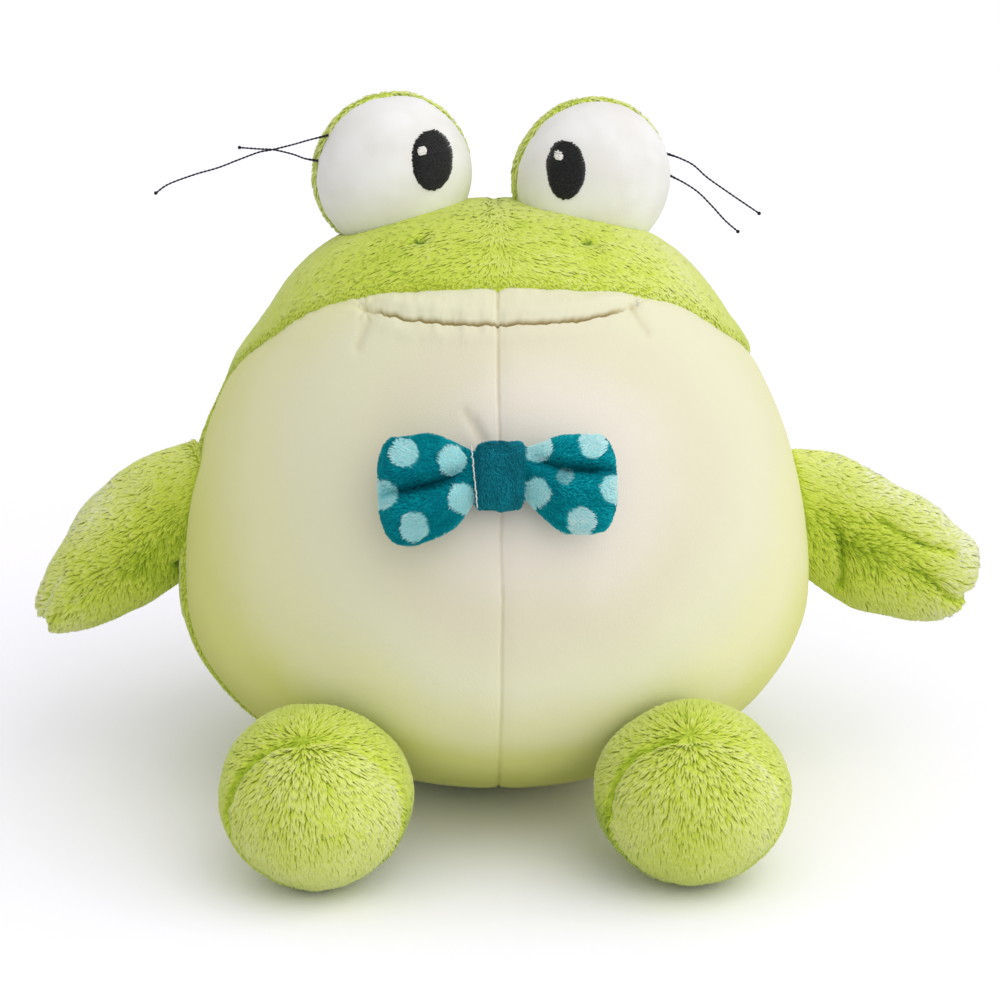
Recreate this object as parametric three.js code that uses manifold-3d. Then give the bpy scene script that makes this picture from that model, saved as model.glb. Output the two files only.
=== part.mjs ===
// Plush frog: a round stuffed frog with ball eyes, flipper arms, ball feet and a spotted bow tie.
// Millimetres, +Z up. The front faces -Y. The origin is the middle of the flat patch that the body
// sits on. Left and right are as seen from the front, so left is -X.
import * as THREE from "three";
import { mergeVertices } from "three/addons/utils/BufferGeometryUtils.js";
import Module from "manifold-3d";

const wasm = await Module();
wasm.setup();

// Cloth and thread
const CLEARANCE = 0.35; // gap between pieces that lie against each other
const VELOUR = 1.6; // smooth cloth of the belly and the eye fronts
const PLUSH = 3.6; // long-pile cloth of the head, back, arms and feet
const THREAD = 1; // sewing thread where it shows
const OVERRUN = 4; // how far a cutting shape runs past what it cuts
const FLAT_DEPTH = 0.5; // how far the body and feet are flattened where they stand

// Body: an egg that is widest low down, measured to the inside of its cloth
const BODY = {
  halfWidth: 92.4,
  frontDepth: 83.4,
  backDepth: 78.4,
  wideHeight: 59,
  rise: 113.6,
};
const FULLNESS_SHARES = { upper: 0.03, lower: 0.01 }; // 0 is a true ellipse, and more is fuller
const SHOULDER_SWELL_SHARE = 0.14; // extra width where the eyes stand
const SHOULDER_START_SHARE = 0.68; // of the rise
const BASE_PANEL = { halfWidth: 32, halfDepth: 25 };
const PELLET_BAG = { halfWidth: 40, halfHeight: 11, pocketFloor: 1 };

// Seam between belly and back, seen from the side: from the forehead down to the base.
// Each point is a share of the front depth and a share of the wide height plus rise.
const SIDE_SEAM_SHARES = [
  [-0.66, 1.0],
  [-0.46, 0.945],
  [-0.31, 0.895],
  [-0.17, 0.825],
  [0.02, 0.75],
  [0.2, 0.68],
  [0.12, 0.6],
  [0.02, 0.52],
  [-0.06, 0.42],
  [-0.17, 0.26],
  [-0.28, 0.13],
  [-0.35, 0.02],
  [-0.37, -0.06],
];
const SIDE_SEAM_SHIFT = { left: -4, right: 14 }; // the two side seams aren't sewn quite alike
const SEAM_SHIFT_FADE_SHARES = [0.58, 0.86]; // of the height, where the two seams come together
const SEAM_STEPS = 26;

// Eyes: balls set into the top of the head, measured to the inside of their cloth. Their middles
// stand above the top of the body's lining.
const EYE = { halfWidth: 21.7, halfHeight: 21.8, halfDepth: 15.5, seamSetBack: 1.5 };
const EYE_PLACE = {
  left: { x: -29.7, y: 13, above: 9, roll: -8, turn: 15 },
  right: { x: 29, y: 13, above: 7, roll: 8, turn: 15 },
};
const PUPIL = { halfHeight: 9, height: 0.8 };
const PUPIL_PLACE = {
  left: { x: 8.5, z: 6, roll: 6, halfWidth: 6.6 },
  right: { x: -13.7, z: 5.4, roll: 0, halfWidth: 5.4 },
};
const GLINT = { halfWidth: 1.6, halfHeight: 1.8 };
const GLINT_PLACE = { left: { x: -2.9, z: 3 }, right: { x: -1.9, z: 4 } }; // from the pupil's middle
const LASH = { thread: 0.6, knot: 1.3 };
// Routes of the lashes from the middle of their eye: across, forward and up
const LASH_ROUTES = {
  left: {
    upper: [
      [-19, 4.9, 13.2],
      [-24.3, 5.3, 12],
      [-29.7, 4.2, 10.2],
      [-35.8, 2.6, 8.3],
      [-39.5, 2.2, 7.5],
      [-45.8, 2, 5.1],
      [-51.5, 2.1, 2.9],
      [-58.6, 2.4, 0.9],
      [-66.1, 2.8, -1.8],
      [-69.9, 3, -4.4],
    ],
    lower: [
      [-22.1, 5.6, 5.7],
      [-25.9, 5.2, 6.3],
      [-29.5, 2.8, 7],
      [-35.2, 0.2, 7.7],
      [-39.6, -1.6, 7.5],
      [-45.3, -3, 7.6],
    ],
  },
  right: {
    upper: [
      [21.8, -5, 6.4],
      [26, -3.2, 5.3],
      [29.8, -1.6, 3.6],
      [33.6, -0.1, 0.4],
      [39.5, 1.4, -3.6],
      [44.5, 2.4, -6.9],
      [49, 3, -9.9],
    ],
    lower: [
      [22.4, -6.6, -0.4],
      [27.4, -5.5, -2.8],
      [31.6, -4, -5.4],
      [36, -3.2, -9.8],
      [39.5, -3, -13.7],
      [43.4, -3.2, -17.2],
    ],
  },
};

// Arms: flat flippers sewn into the side seams, with fingers marked by sewn creases
const ARM = { thickness: 21, top: 22, bottom: 20.4 }; // edges from the middle line
const ARM_LENGTH = { left: 58, right: 56 };
const ARM_PLACE = {
  left: { y: -2, z: 82, droop: 37, sweep: -8 },
  right: { y: 3, z: 78, droop: 24, sweep: 0 },
};
const ARM_SEAM = { low: 62, high: 100 }; // heights between which the side seam holds the arm
const ARM_SWING = { forward: 30, back: 20 };
// Stations along the arm: share of length, of the top edge, of the bottom edge and of the thickness
const ARM_SHARES = {
  left: [
    [-0.2, 0.815, 0.62, 0.1],
    [-0.05, 0.92, 0.72, 0.22],
    [0.1, 0.95, 0.8, 0.58],
    [0.26, 0.913, 0.88, 0.88],
    [0.43, 0.815, 0.905, 1.0],
    [0.6, 0.6, 0.83, 0.98],
    [0.76, 0.364, 0.71, 0.86],
    [0.88, 0.163, 0.553, 0.7],
    [0.955, -0.04, 0.42, 0.5],
    [0.99, -0.2, 0.34, 0.3],
  ],
  right: [
    [-0.2, 0.8, 0.7, 0.1],
    [-0.05, 0.93, 0.82, 0.22],
    [0.1, 0.93, 0.945, 0.58],
    [0.26, 0.89, 1.06, 0.88],
    [0.43, 0.815, 1.16, 1.0],
    [0.6, 0.73, 1.083, 0.98],
    [0.76, 0.58, 0.994, 0.86],
    [0.88, 0.478, 0.87, 0.7],
    [0.955, 0.283, 0.643, 0.5],
    [0.99, 0.0, 0.435, 0.3],
  ],
};
// The notch between the fingers at the tip: how far up as a share of the top edge
const NOTCH_SHARE = { left: -0.186, right: -0.18 };
const NOTCH = { depth: 1.4, width: 2.4 };
const NOTCH_START_SHARE = 0.8; // of the length
// Finger lines on the front: share of the length and share of the top edge
const FINGER_LINE_SHARES = {
  left: {
    upper: [
      [0.634, 0.286],
      [0.757, 0.182],
      [0.895, -0.014],
      [0.957, -0.136],
    ],
    lower: [
      [0.219, 0.005],
      [0.343, -0.041],
      [0.471, -0.105],
      [0.74, -0.114],
    ],
  },
  right: {
    upper: [
      [0.31, 0.382],
      [0.536, 0.282],
      [0.763, 0.323],
    ],
    lower: [
      [0.616, -0.045],
      [0.866, -0.273],
      [0.94, -0.24],
    ],
  },
};
const FINGER_LINE = { depth: 2.2, groove: 4 }; // depth below the tips of the pile

// Feet: balls sewn to the front of the belly, measured to the inside of their cloth
const FOOT = { halfWidth: 25, halfHeight: 23.2, halfDepth: 24.5, seamForward: 12 };
const FOOT_PLACE = { x: 53.5, seamTop: 46, out: 18.7 }; // out from the belly at the top of the seam
const FOOT_LIFT = 20;

// Bow tie: two puffed wings, pinched by a band, tacked to the belly
const BOW = { x: -1, height: 118, tilt: 20, roll: 1.6, halfLength: 33.4 };
const BOW_WING = { front: 9, back: 4, drop: 3, crease: 4.2, creaseWidth: 4 };
const BOW_WING_HALF_HEIGHT = { left: 14.8, right: 13 };
const BOW_PINCH = { halfHeight: 6.6, halfThickness: 4.2 };
const BOW_BAND = { width: 13.4, cloth: 2 };
const TACK = { diameter: 1.6 };
const BOW_SWIVEL = 20;
// Stations along the bow: share of the half length, then how far the section has opened from the
// pinch to the full wing
const BOW_SHARES = [
  [0.0, 0.0],
  [0.205, 0.0],
  [0.28, 0.24],
  [0.4, 0.66],
  [0.56, 0.94],
  [0.72, 1.0],
  [0.86, 0.92],
  [0.95, 0.72],
  [0.99, 0.42],
];

// Mouth and nostrils
const MOUTH = { below: 15.8, halfWidth: 38, sag: 1.6 }; // below the top of the lining
const NOSTRIL = { x: 24, y: -14.5, thread: 2, hole: 3.4, depth: 1.8 };

// Facets
const BODY_SIDES = 32;
const BODY_RINGS = 17;
const INNER_SIDES = 20;
const INNER_RINGS = 10;
const BALL_SIDES = 18;
const BALL_RINGS = 10;
const BALL_INNER_SIDES = 10;
const BALL_INNER_RINGS = 6;
const ARM_SIDES = 12;
const ARM_INNER_SIDES = 8;
const BOW_SIDES = 16;
const ROUND_SIDES = 16;
const THREAD_SIDES = 6;
const MOUTH_STEPS = 14;
const FINGER_STEPS = 5;
const LASH_STEPS = 10;

// Helpers

const SIDES = { left: -1, right: 1 };

function radians(degrees) {
  return THREE.MathUtils.degToRad(degrees);
}

// A closed three.js geometry as a solid that can be joined and cut.
function solidFrom(geometry) {
  const bare = geometry.index ? geometry.toNonIndexed() : geometry.clone();
  bare.deleteAttribute("normal");
  bare.deleteAttribute("uv");
  const merged = mergeVertices(bare);
  return new wasm.Manifold(
    new wasm.Mesh({
      numProp: 3,
      vertProperties: merged.attributes.position.array,
      triVerts: new Uint32Array(merged.index.array),
    }),
  );
}

// A solid back as a flat-shaded three.js geometry.
function geometryFrom(solid) {
  const mesh = solid.getMesh();
  const geometry = new THREE.BufferGeometry();
  geometry.setAttribute("position", new THREE.BufferAttribute(mesh.vertProperties, 3));
  geometry.setIndex(new THREE.BufferAttribute(mesh.triVerts, 1));
  const flat = geometry.toNonIndexed();
  flat.computeVertexNormals();
  return flat;
}

function moved(solid, matrix) {
  return solid.transform(matrix.toArray());
}

// Rows of points between two poles, closed into one skin. pointAt takes the row and the step round.
function closedSkin(rows, sides, pointAt, startPole, endPole) {
  const positions = [...startPole.toArray()];
  for (let row = 0; row < rows; row += 1) {
    for (let side = 0; side < sides; side += 1) {
      positions.push(...pointAt(row, (side / sides) * 2 * Math.PI).toArray());
    }
  }
  positions.push(...endPole.toArray());
  const at = (row, side) => 1 + row * sides + (side % sides);
  const last = 1 + rows * sides;
  const faces = [];
  for (let side = 0; side < sides; side += 1) {
    faces.push(0, at(0, side), at(0, side + 1));
    faces.push(last, at(rows - 1, side + 1), at(rows - 1, side));
  }
  for (let row = 0; row + 1 < rows; row += 1) {
    for (let side = 0; side < sides; side += 1) {
      faces.push(at(row, side), at(row + 1, side), at(row + 1, side + 1));
      faces.push(at(row, side), at(row + 1, side + 1), at(row, side + 1));
    }
  }
  const geometry = new THREE.BufferGeometry();
  geometry.setAttribute("position", new THREE.Float32BufferAttribute(positions, 3));
  geometry.setIndex(faces);
  return solidFrom(geometry);
}

// An ellipsoid, with its poles at the top and bottom.
function ball(halfWidth, halfDepth, halfHeight, sides, rings) {
  const sphere = new THREE.SphereGeometry(1, sides, rings);
  sphere.rotateX(Math.PI / 2);
  sphere.scale(halfWidth, halfDepth, halfHeight);
  return solidFrom(sphere);
}

// A block between two corners.
function block(low, high) {
  const size = new THREE.Vector3().subVectors(high, low);
  const box = new THREE.BoxGeometry(size.x, size.y, size.z);
  box.translate(...new THREE.Vector3().addVectors(low, high).multiplyScalar(0.5).toArray());
  return solidFrom(box);
}

// An upright outline in a plane that faces the front, carried along Y from nearY to farY.
function prismAlongY(shape, nearY, farY, segments) {
  const options = { depth: farY - nearY, bevelEnabled: false, curveSegments: segments };
  const geometry = new THREE.ExtrudeGeometry(shape, options);
  geometry.rotateX(Math.PI / 2);
  geometry.translate(0, farY, 0);
  return solidFrom(geometry);
}

function ellipse(x, z, halfWidth, halfHeight, roll) {
  const shape = new THREE.Shape();
  shape.absellipse(x, z, halfWidth, halfHeight, 0, 2 * Math.PI, false, roll);
  return shape;
}

// A thread of one diameter along a smooth line through the points.
function threadAlong(points, diameter, steps) {
  const route = new THREE.CatmullRomCurve3(points, false, "centripetal");
  const round = new THREE.Shape();
  for (let side = 0; side < THREAD_SIDES; side += 1) {
    const angle = (side / THREAD_SIDES) * 2 * Math.PI;
    const x = (diameter / 2) * Math.cos(angle);
    const y = (diameter / 2) * Math.sin(angle);
    if (side === 0) round.moveTo(x, y);
    else round.lineTo(x, y);
  }
  round.closePath();
  const options = { steps, bevelEnabled: false, extrudePath: route };
  return solidFrom(new THREE.ExtrudeGeometry(round, options));
}

// The same line of points with both ends drawn out by a length.
function lengthened(points, by) {
  const longer = points.map((at) => at.clone());
  const last = points.length - 1;
  longer[0].add(points[0].clone().sub(points[1]).setLength(by));
  longer[last].add(points[last].clone().sub(points[last - 1]).setLength(by));
  return longer;
}

// Body

const bodyHeight = BODY.wideHeight + BODY.rise;
const bodyDrop = BODY.wideHeight + FLAT_DEPTH - PLUSH;

function signedPower(value, power) {
  return Math.sign(value) * Math.pow(Math.abs(value), power);
}

function eggPower(isUpper) {
  return 2 + 2 * (isUpper ? FULLNESS_SHARES.upper : FULLNESS_SHARES.lower);
}

// Half width, front depth and back depth of the body at an angle down from the top, with the
// surface moved out by grow.
function bodySection(down, grow) {
  const power = eggPower(down < Math.PI / 2);
  const up = signedPower(Math.cos(down), 2 / power);
  const spread = Math.pow(Math.abs(Math.sin(down)), 2 / power);
  const rise = up > 0 ? BODY.rise + grow : bodyDrop + grow;
  const swell =
    1 + SHOULDER_SWELL_SHARE * THREE.MathUtils.smoothstep(up, SHOULDER_START_SHARE, 1);
  return {
    z: BODY.wideHeight + rise * up,
    halfWidth: (BODY.halfWidth + grow) * spread * swell,
    front: (BODY.frontDepth + grow) * spread,
    back: (BODY.backDepth + grow) * spread,
  };
}

function bodyEgg(grow, sides, rings) {
  const pointAt = (row, round) => {
    const section = bodySection(((row + 1) / (rings + 1)) * Math.PI, grow);
    const depth = Math.sin(round) < 0 ? section.front : section.back;
    return new THREE.Vector3(
      section.halfWidth * Math.cos(round),
      depth * Math.sin(round),
      section.z,
    );
  };
  const top = new THREE.Vector3(0, 0, BODY.wideHeight + BODY.rise + grow);
  const bottom = new THREE.Vector3(0, 0, BODY.wideHeight - bodyDrop - grow);
  return closedSkin(rings, sides, pointAt, top, bottom);
}

// The angle down from the top at which the body has this height.
function downAt(height, grow) {
  const rise = height > BODY.wideHeight ? BODY.rise + grow : bodyDrop + grow;
  const power = eggPower(height > BODY.wideHeight);
  const up = (height - BODY.wideHeight) / rise;
  return Math.acos(signedPower(THREE.MathUtils.clamp(up, -1, 1), power / 2));
}

// The front of the body at x and a height, with the surface moved out by grow.
function frontAt(x, height, grow) {
  const section = bodySection(downAt(height, grow), grow);
  const across = THREE.MathUtils.clamp(x / section.halfWidth, -1, 1);
  return new THREE.Vector3(x, -section.front * Math.sqrt(1 - across * across), height);
}

// The side of the plush at a height, in the middle of the body's depth.
function sideAt(side, height) {
  const section = bodySection(downAt(height, PLUSH), PLUSH);
  return new THREE.Vector3(SIDES[side] * section.halfWidth, 0, height);
}

const reach = {
  x: BODY.halfWidth + PLUSH + OVERRUN,
  y: BODY.frontDepth + PLUSH + OVERRUN,
  top: bodyHeight + PLUSH + OVERRUN,
};
const floorCut = block(
  new THREE.Vector3(-2 * reach.x, -2 * reach.y, -2 * OVERRUN),
  new THREE.Vector3(2 * reach.x, 2 * reach.y, 0),
);

// One half of the body's space, from the middle seam outwards.
function halfSpace(side) {
  const near = (SIDES[side] * CLEARANCE) / 2;
  const far = SIDES[side] * reach.x;
  return block(
    new THREE.Vector3(Math.min(near, far), -reach.y, -OVERRUN),
    new THREE.Vector3(Math.max(near, far), reach.y, reach.top),
  );
}

// What lies in front of the side seam. offset moves the seam back along its own normal.
function frontSpace(side, offset) {
  const points = SIDE_SEAM_SHARES.map(([deep, high]) => {
    const low = 1 - THREE.MathUtils.smoothstep(high, ...SEAM_SHIFT_FADE_SHARES);
    return new THREE.Vector2(
      deep * BODY.frontDepth + SIDE_SEAM_SHIFT[side] * low,
      high * bodyHeight,
    );
  });
  const seam = new THREE.SplineCurve(points);
  const shape = new THREE.Shape();
  shape.moveTo(-reach.y, reach.top);
  for (let step = 0; step <= SEAM_STEPS; step += 1) {
    const at = seam.getPoint(step / SEAM_STEPS);
    const along = seam.getTangent(step / SEAM_STEPS);
    shape.lineTo(at.x - along.y * offset, at.y + along.x * offset);
  }
  shape.lineTo(-reach.y, -2 * OVERRUN);
  shape.closePath();
  const options = { depth: 2 * reach.x, bevelEnabled: false };
  const geometry = new THREE.ExtrudeGeometry(shape, options);
  const turn = new THREE.Matrix4().makeBasis(
    new THREE.Vector3(0, 1, 0),
    new THREE.Vector3(0, 0, 1),
    new THREE.Vector3(1, 0, 0),
  );
  geometry.applyMatrix4(turn);
  geometry.translate(-reach.x, 0, 0);
  return solidFrom(geometry);
}

const bodyLining = bodyEgg(0, INNER_SIDES, INNER_RINGS);
const bodyVelour = bodyEgg(VELOUR, BODY_SIDES, BODY_RINGS);
const bodyPlush = bodyEgg(PLUSH, BODY_SIDES, BODY_RINGS);
const bodyClear = bodyEgg(PLUSH + CLEARANCE, BODY_SIDES, BODY_RINGS);
const bodyVelourClear = bodyEgg(VELOUR + CLEARANCE, BODY_SIDES, BODY_RINGS);

// The tack stitch of the bow tie runs straight back into the belly.
const bowSeat = frontAt(BOW.x, BOW.height, VELOUR);
const bowTurn = new THREE.Matrix4().makeRotationX(radians(-BOW.tilt));
const bandBack = BOW_PINCH.halfThickness + CLEARANCE + BOW_BAND.cloth;
const bowAway = new THREE.Vector3(0, -bandBack - CLEARANCE, 0).applyMatrix4(bowTurn);
const bowMatrix = new THREE.Matrix4()
  .makeTranslation(...bowSeat.clone().add(bowAway).toArray())
  .multiply(bowTurn)
  .multiply(new THREE.Matrix4().makeRotationY(radians(-BOW.roll)));

function rodAlongY(diameter, nearY, farY) {
  return prismAlongY(ellipse(0, 0, diameter / 2, diameter / 2, 0), nearY, farY, ROUND_SIDES / 2);
}

const tackNear = BOW_PINCH.halfThickness + CLEARANCE;
const tackFar = bandBack + CLEARANCE + VELOUR;
const tackHole = rodAlongY(
  TACK.diameter + 2 * CLEARANCE,
  tackNear - OVERRUN / 2,
  tackFar + OVERRUN,
);

const parts = new Map();

function addPart(name, solid) {
  parts.set(name, solid);
}

const baseOutline = ellipse(0, 0, BASE_PANEL.halfWidth, BASE_PANEL.halfDepth, 0);
const baseHole = ellipse(
  0,
  0,
  BASE_PANEL.halfWidth + CLEARANCE,
  BASE_PANEL.halfDepth + CLEARANCE,
  0,
);

function uprightPrism(shape, low, high) {
  const options = { depth: high - low, bevelEnabled: false, curveSegments: ROUND_SIDES / 2 };
  const geometry = new THREE.ExtrudeGeometry(shape, options);
  geometry.translate(0, 0, low);
  return solidFrom(geometry);
}

const underBody = BODY.wideHeight / 2;
const plushSkin = bodyPlush.subtract(bodyLining).subtract(floorCut);
const velourSkin = bodyVelour.subtract(bodyLining).subtract(floorCut);
addPart("base_panel", plushSkin.intersect(uprightPrism(baseOutline, -OVERRUN, underBody)));
const baseOpening = uprightPrism(baseHole, -OVERRUN, underBody);

const nostrilTop = bodyHeight + PLUSH;
const nostrilFloor = bodyHeight - BODY.rise / 4;
function nostrilHole(side) {
  const outline = ellipse(
    SIDES[side] * NOSTRIL.x,
    NOSTRIL.y,
    NOSTRIL.hole / 2,
    NOSTRIL.hole / 2,
    0,
  );
  return uprightPrism(outline, nostrilFloor, nostrilTop);
}

for (const side of Object.keys(SIDES)) {
  const half = halfSpace(side);
  const belly = velourSkin.intersect(frontSpace(side, 0)).intersect(half).subtract(baseOpening);
  addPart("belly_panel_" + side, belly.subtract(moved(tackHole, bowMatrix)));
  const back = plushSkin.subtract(frontSpace(side, CLEARANCE)).intersect(half);
  addPart("back_panel_" + side, back.subtract(baseOpening).subtract(nostrilHole(side)));
  const outline = ellipse(
    SIDES[side] * NOSTRIL.x,
    NOSTRIL.y,
    NOSTRIL.thread / 2,
    NOSTRIL.thread / 2,
    0,
  );
  const sunk = bodyEgg(PLUSH - NOSTRIL.depth, INNER_SIDES, INNER_RINGS);
  const stitch = uprightPrism(outline, nostrilFloor, nostrilTop).intersect(sunk);
  addPart("nostril_thread_" + side, stitch.subtract(bodyLining));
}

// The pellet bag lies in a pocket in the underside of the stuffing.
const bagHeight = PLUSH + PELLET_BAG.pocketFloor + PELLET_BAG.halfHeight;

function pelletBag(grow) {
  const made = ball(
    PELLET_BAG.halfWidth + grow,
    PELLET_BAG.halfWidth + grow,
    PELLET_BAG.halfHeight + grow,
    BALL_SIDES,
    BALL_INNER_RINGS,
  );
  return made.translate(0, 0, bagHeight);
}

const bodyStuffing = bodyEgg(-CLEARANCE, INNER_SIDES, INNER_RINGS);
addPart("pellet_bag", pelletBag(0).intersect(bodyStuffing));
const pocketOutline = ellipse(0, 0, PELLET_BAG.halfWidth, PELLET_BAG.halfWidth, 0);
const pocket = pelletBag(CLEARANCE).add(uprightPrism(pocketOutline, -OVERRUN, bagHeight));
addPart("body_stuffing", bodyStuffing.subtract(pocket));

// The thread along the mouth fold lies on the belly cloth, with its ends at the corners.
const mouthPoints = [];
for (let step = 0; step <= MOUTH_STEPS; step += 1) {
  const across = (2 * step) / MOUTH_STEPS - 1;
  const height = bodyHeight - MOUTH.below - (1 - across * across) * MOUTH.sag;
  const away = VELOUR + CLEARANCE + THREAD / 2;
  mouthPoints.push(frontAt(across * MOUTH.halfWidth, height, away));
}
addPart("mouth_thread", threadAlong(mouthPoints, THREAD, MOUTH_STEPS));

// Eyes

const eyeReach = EYE.halfWidth + PLUSH + OVERRUN;

function eyeBall(grow, sides, rings) {
  return ball(EYE.halfWidth + grow, EYE.halfDepth + grow, EYE.halfHeight + grow, sides, rings);
}

// The space behind or in front of the eye's seam, in the eye's own frame.
function eyeSlab(nearY, farY) {
  return block(
    new THREE.Vector3(-eyeReach, nearY, -eyeReach),
    new THREE.Vector3(eyeReach, farY, eyeReach),
  );
}

for (const side of Object.keys(SIDES)) {
  const place = EYE_PLACE[side];
  const middle = new THREE.Vector3(place.x, place.y, bodyHeight + place.above);
  const eyeMatrix = new THREE.Matrix4()
    .makeTranslation(...middle.toArray())
    .multiply(new THREE.Matrix4().makeRotationZ(radians(place.turn)))
    .multiply(new THREE.Matrix4().makeRotationY(radians(place.roll)));
  const seated = (solid) => moved(solid, eyeMatrix).subtract(bodyClear);
  const lining = eyeBall(0, BALL_INNER_SIDES, BALL_INNER_RINGS);
  const white = eyeBall(VELOUR, BALL_SIDES, BALL_RINGS);
  const green = eyeBall(PLUSH, BALL_SIDES, BALL_RINGS);
  const seam = EYE.seamSetBack;
  const front = white.subtract(lining).intersect(eyeSlab(-eyeReach, seam));
  const back = green.subtract(lining).intersect(eyeSlab(seam + CLEARANCE, eyeReach));
  addPart("eye_front_" + side, seated(front));
  addPart("eye_back_" + side, seated(back));
  addPart("eye_stuffing_" + side, seated(eyeBall(-CLEARANCE, BALL_INNER_SIDES, BALL_INNER_RINGS)));

  const raised = eyeBall(VELOUR + CLEARANCE + PUPIL.height, BALL_SIDES, BALL_RINGS).subtract(
    eyeBall(VELOUR + CLEARANCE, BALL_SIDES, BALL_RINGS),
  );
  const at = PUPIL_PLACE[side];
  const roll = radians(at.roll);
  const whole = ellipse(at.x, at.z, at.halfWidth, PUPIL.halfHeight, roll);
  const glintX = at.x + GLINT_PLACE[side].x;
  const glintZ = at.z + GLINT_PLACE[side].z;
  const hole = ellipse(
    glintX,
    glintZ,
    GLINT.halfWidth + CLEARANCE,
    GLINT.halfHeight + CLEARANCE,
    0,
  );
  const dot = ellipse(glintX, glintZ, GLINT.halfWidth, GLINT.halfHeight, 0);
  const pupil = raised
    .intersect(prismAlongY(whole, -eyeReach, 0, ROUND_SIDES / 2))
    .subtract(prismAlongY(hole, -eyeReach, 0, ROUND_SIDES / 4));
  const glint = raised.intersect(prismAlongY(dot, -eyeReach, 0, ROUND_SIDES / 4));
  addPart("eye_pupil_" + side, seated(pupil));
  addPart("eye_glint_" + side, seated(glint));

  const whiteClear = eyeBall(VELOUR + CLEARANCE, BALL_SIDES, BALL_RINGS);
  const rimClear = eyeBall(PLUSH + CLEARANCE, BALL_SIDES, BALL_RINGS);
  const clear = moved(whiteClear.add(rimClear.intersect(eyeSlab(seam, eyeReach))), eyeMatrix);
  for (const [name, route] of Object.entries(LASH_ROUTES[side])) {
    const points = route.map(([across, forward, up]) =>
      new THREE.Vector3(across, -forward, up).add(middle),
    );
    const thread = threadAlong(points, LASH.thread, LASH_STEPS);
    const knot = ball(LASH.knot / 2, LASH.knot / 2, LASH.knot / 2, THREAD_SIDES, THREAD_SIDES / 2);
    const end = points[points.length - 1];
    const lash = thread.add(knot.translate(end.x, end.y, end.z)).subtract(clear);
    addPart("eye_lash_" + name + "_" + side, lash);
  }
}

// Arms

// In an arm's own frame, x runs along it, y through it and z up across it. A section lies at a
// share of the length, between two stations, with the surface moved out by grow.
function armSection(side, along, grow) {
  const stations = ARM_SHARES[side];
  const found = stations.findIndex(([share]) => share >= along);
  const next = found < 0 ? stations.length - 1 : found;
  const [from, ...before] = stations[Math.max(next - 1, 0)];
  const [to, ...after] = stations[next];
  const between = to > from ? THREE.MathUtils.clamp((along - from) / (to - from), 0, 1) : 1;
  const [top, bottom, thick] = before.map((share, column) =>
    THREE.MathUtils.lerp(share, after[column], between),
  );
  const high = top * (ARM.top - PLUSH) + grow;
  const low = bottom * (ARM.bottom - PLUSH) + grow;
  return {
    x: along * (ARM_LENGTH[side] - PLUSH + grow),
    middle: (high - low) / 2,
    half: (high + low) / 2,
    thick: thick * (ARM.thickness / 2 - PLUSH) + grow,
    tip: THREE.MathUtils.smoothstep(along, NOTCH_START_SHARE, 1),
  };
}

// The pile's surface on the front of the arm, lowered by a depth.
function armFront(side, along, high, depth) {
  const at = armSection(side, along, PLUSH);
  const across = THREE.MathUtils.clamp((high - at.middle) / at.half, -1, 1);
  return new THREE.Vector3(at.x, depth - at.thick * Math.sqrt(1 - across * across), high);
}

function armSkin(side, grow, sides) {
  const rows = ARM_SHARES[side].map(([along]) => armSection(side, along, grow));
  const pointAt = (row, round) => {
    const at = rows[row];
    const high = at.middle + at.half * Math.cos(round);
    const away = (high - NOTCH_SHARE[side] * ARM.top) / NOTCH.width;
    const along = at.x - NOTCH.depth * Math.exp(-away * away) * at.tip;
    return new THREE.Vector3(along, at.thick * Math.sin(round), high);
  };
  const first = rows[0];
  const last = rows[rows.length - 1];
  const start = new THREE.Vector3(first.x, 0, first.middle);
  const end = new THREE.Vector3(ARM_LENGTH[side] - PLUSH + grow, 0, last.middle);
  return closedSkin(rows.length, sides, pointAt, start, end);
}

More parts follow.
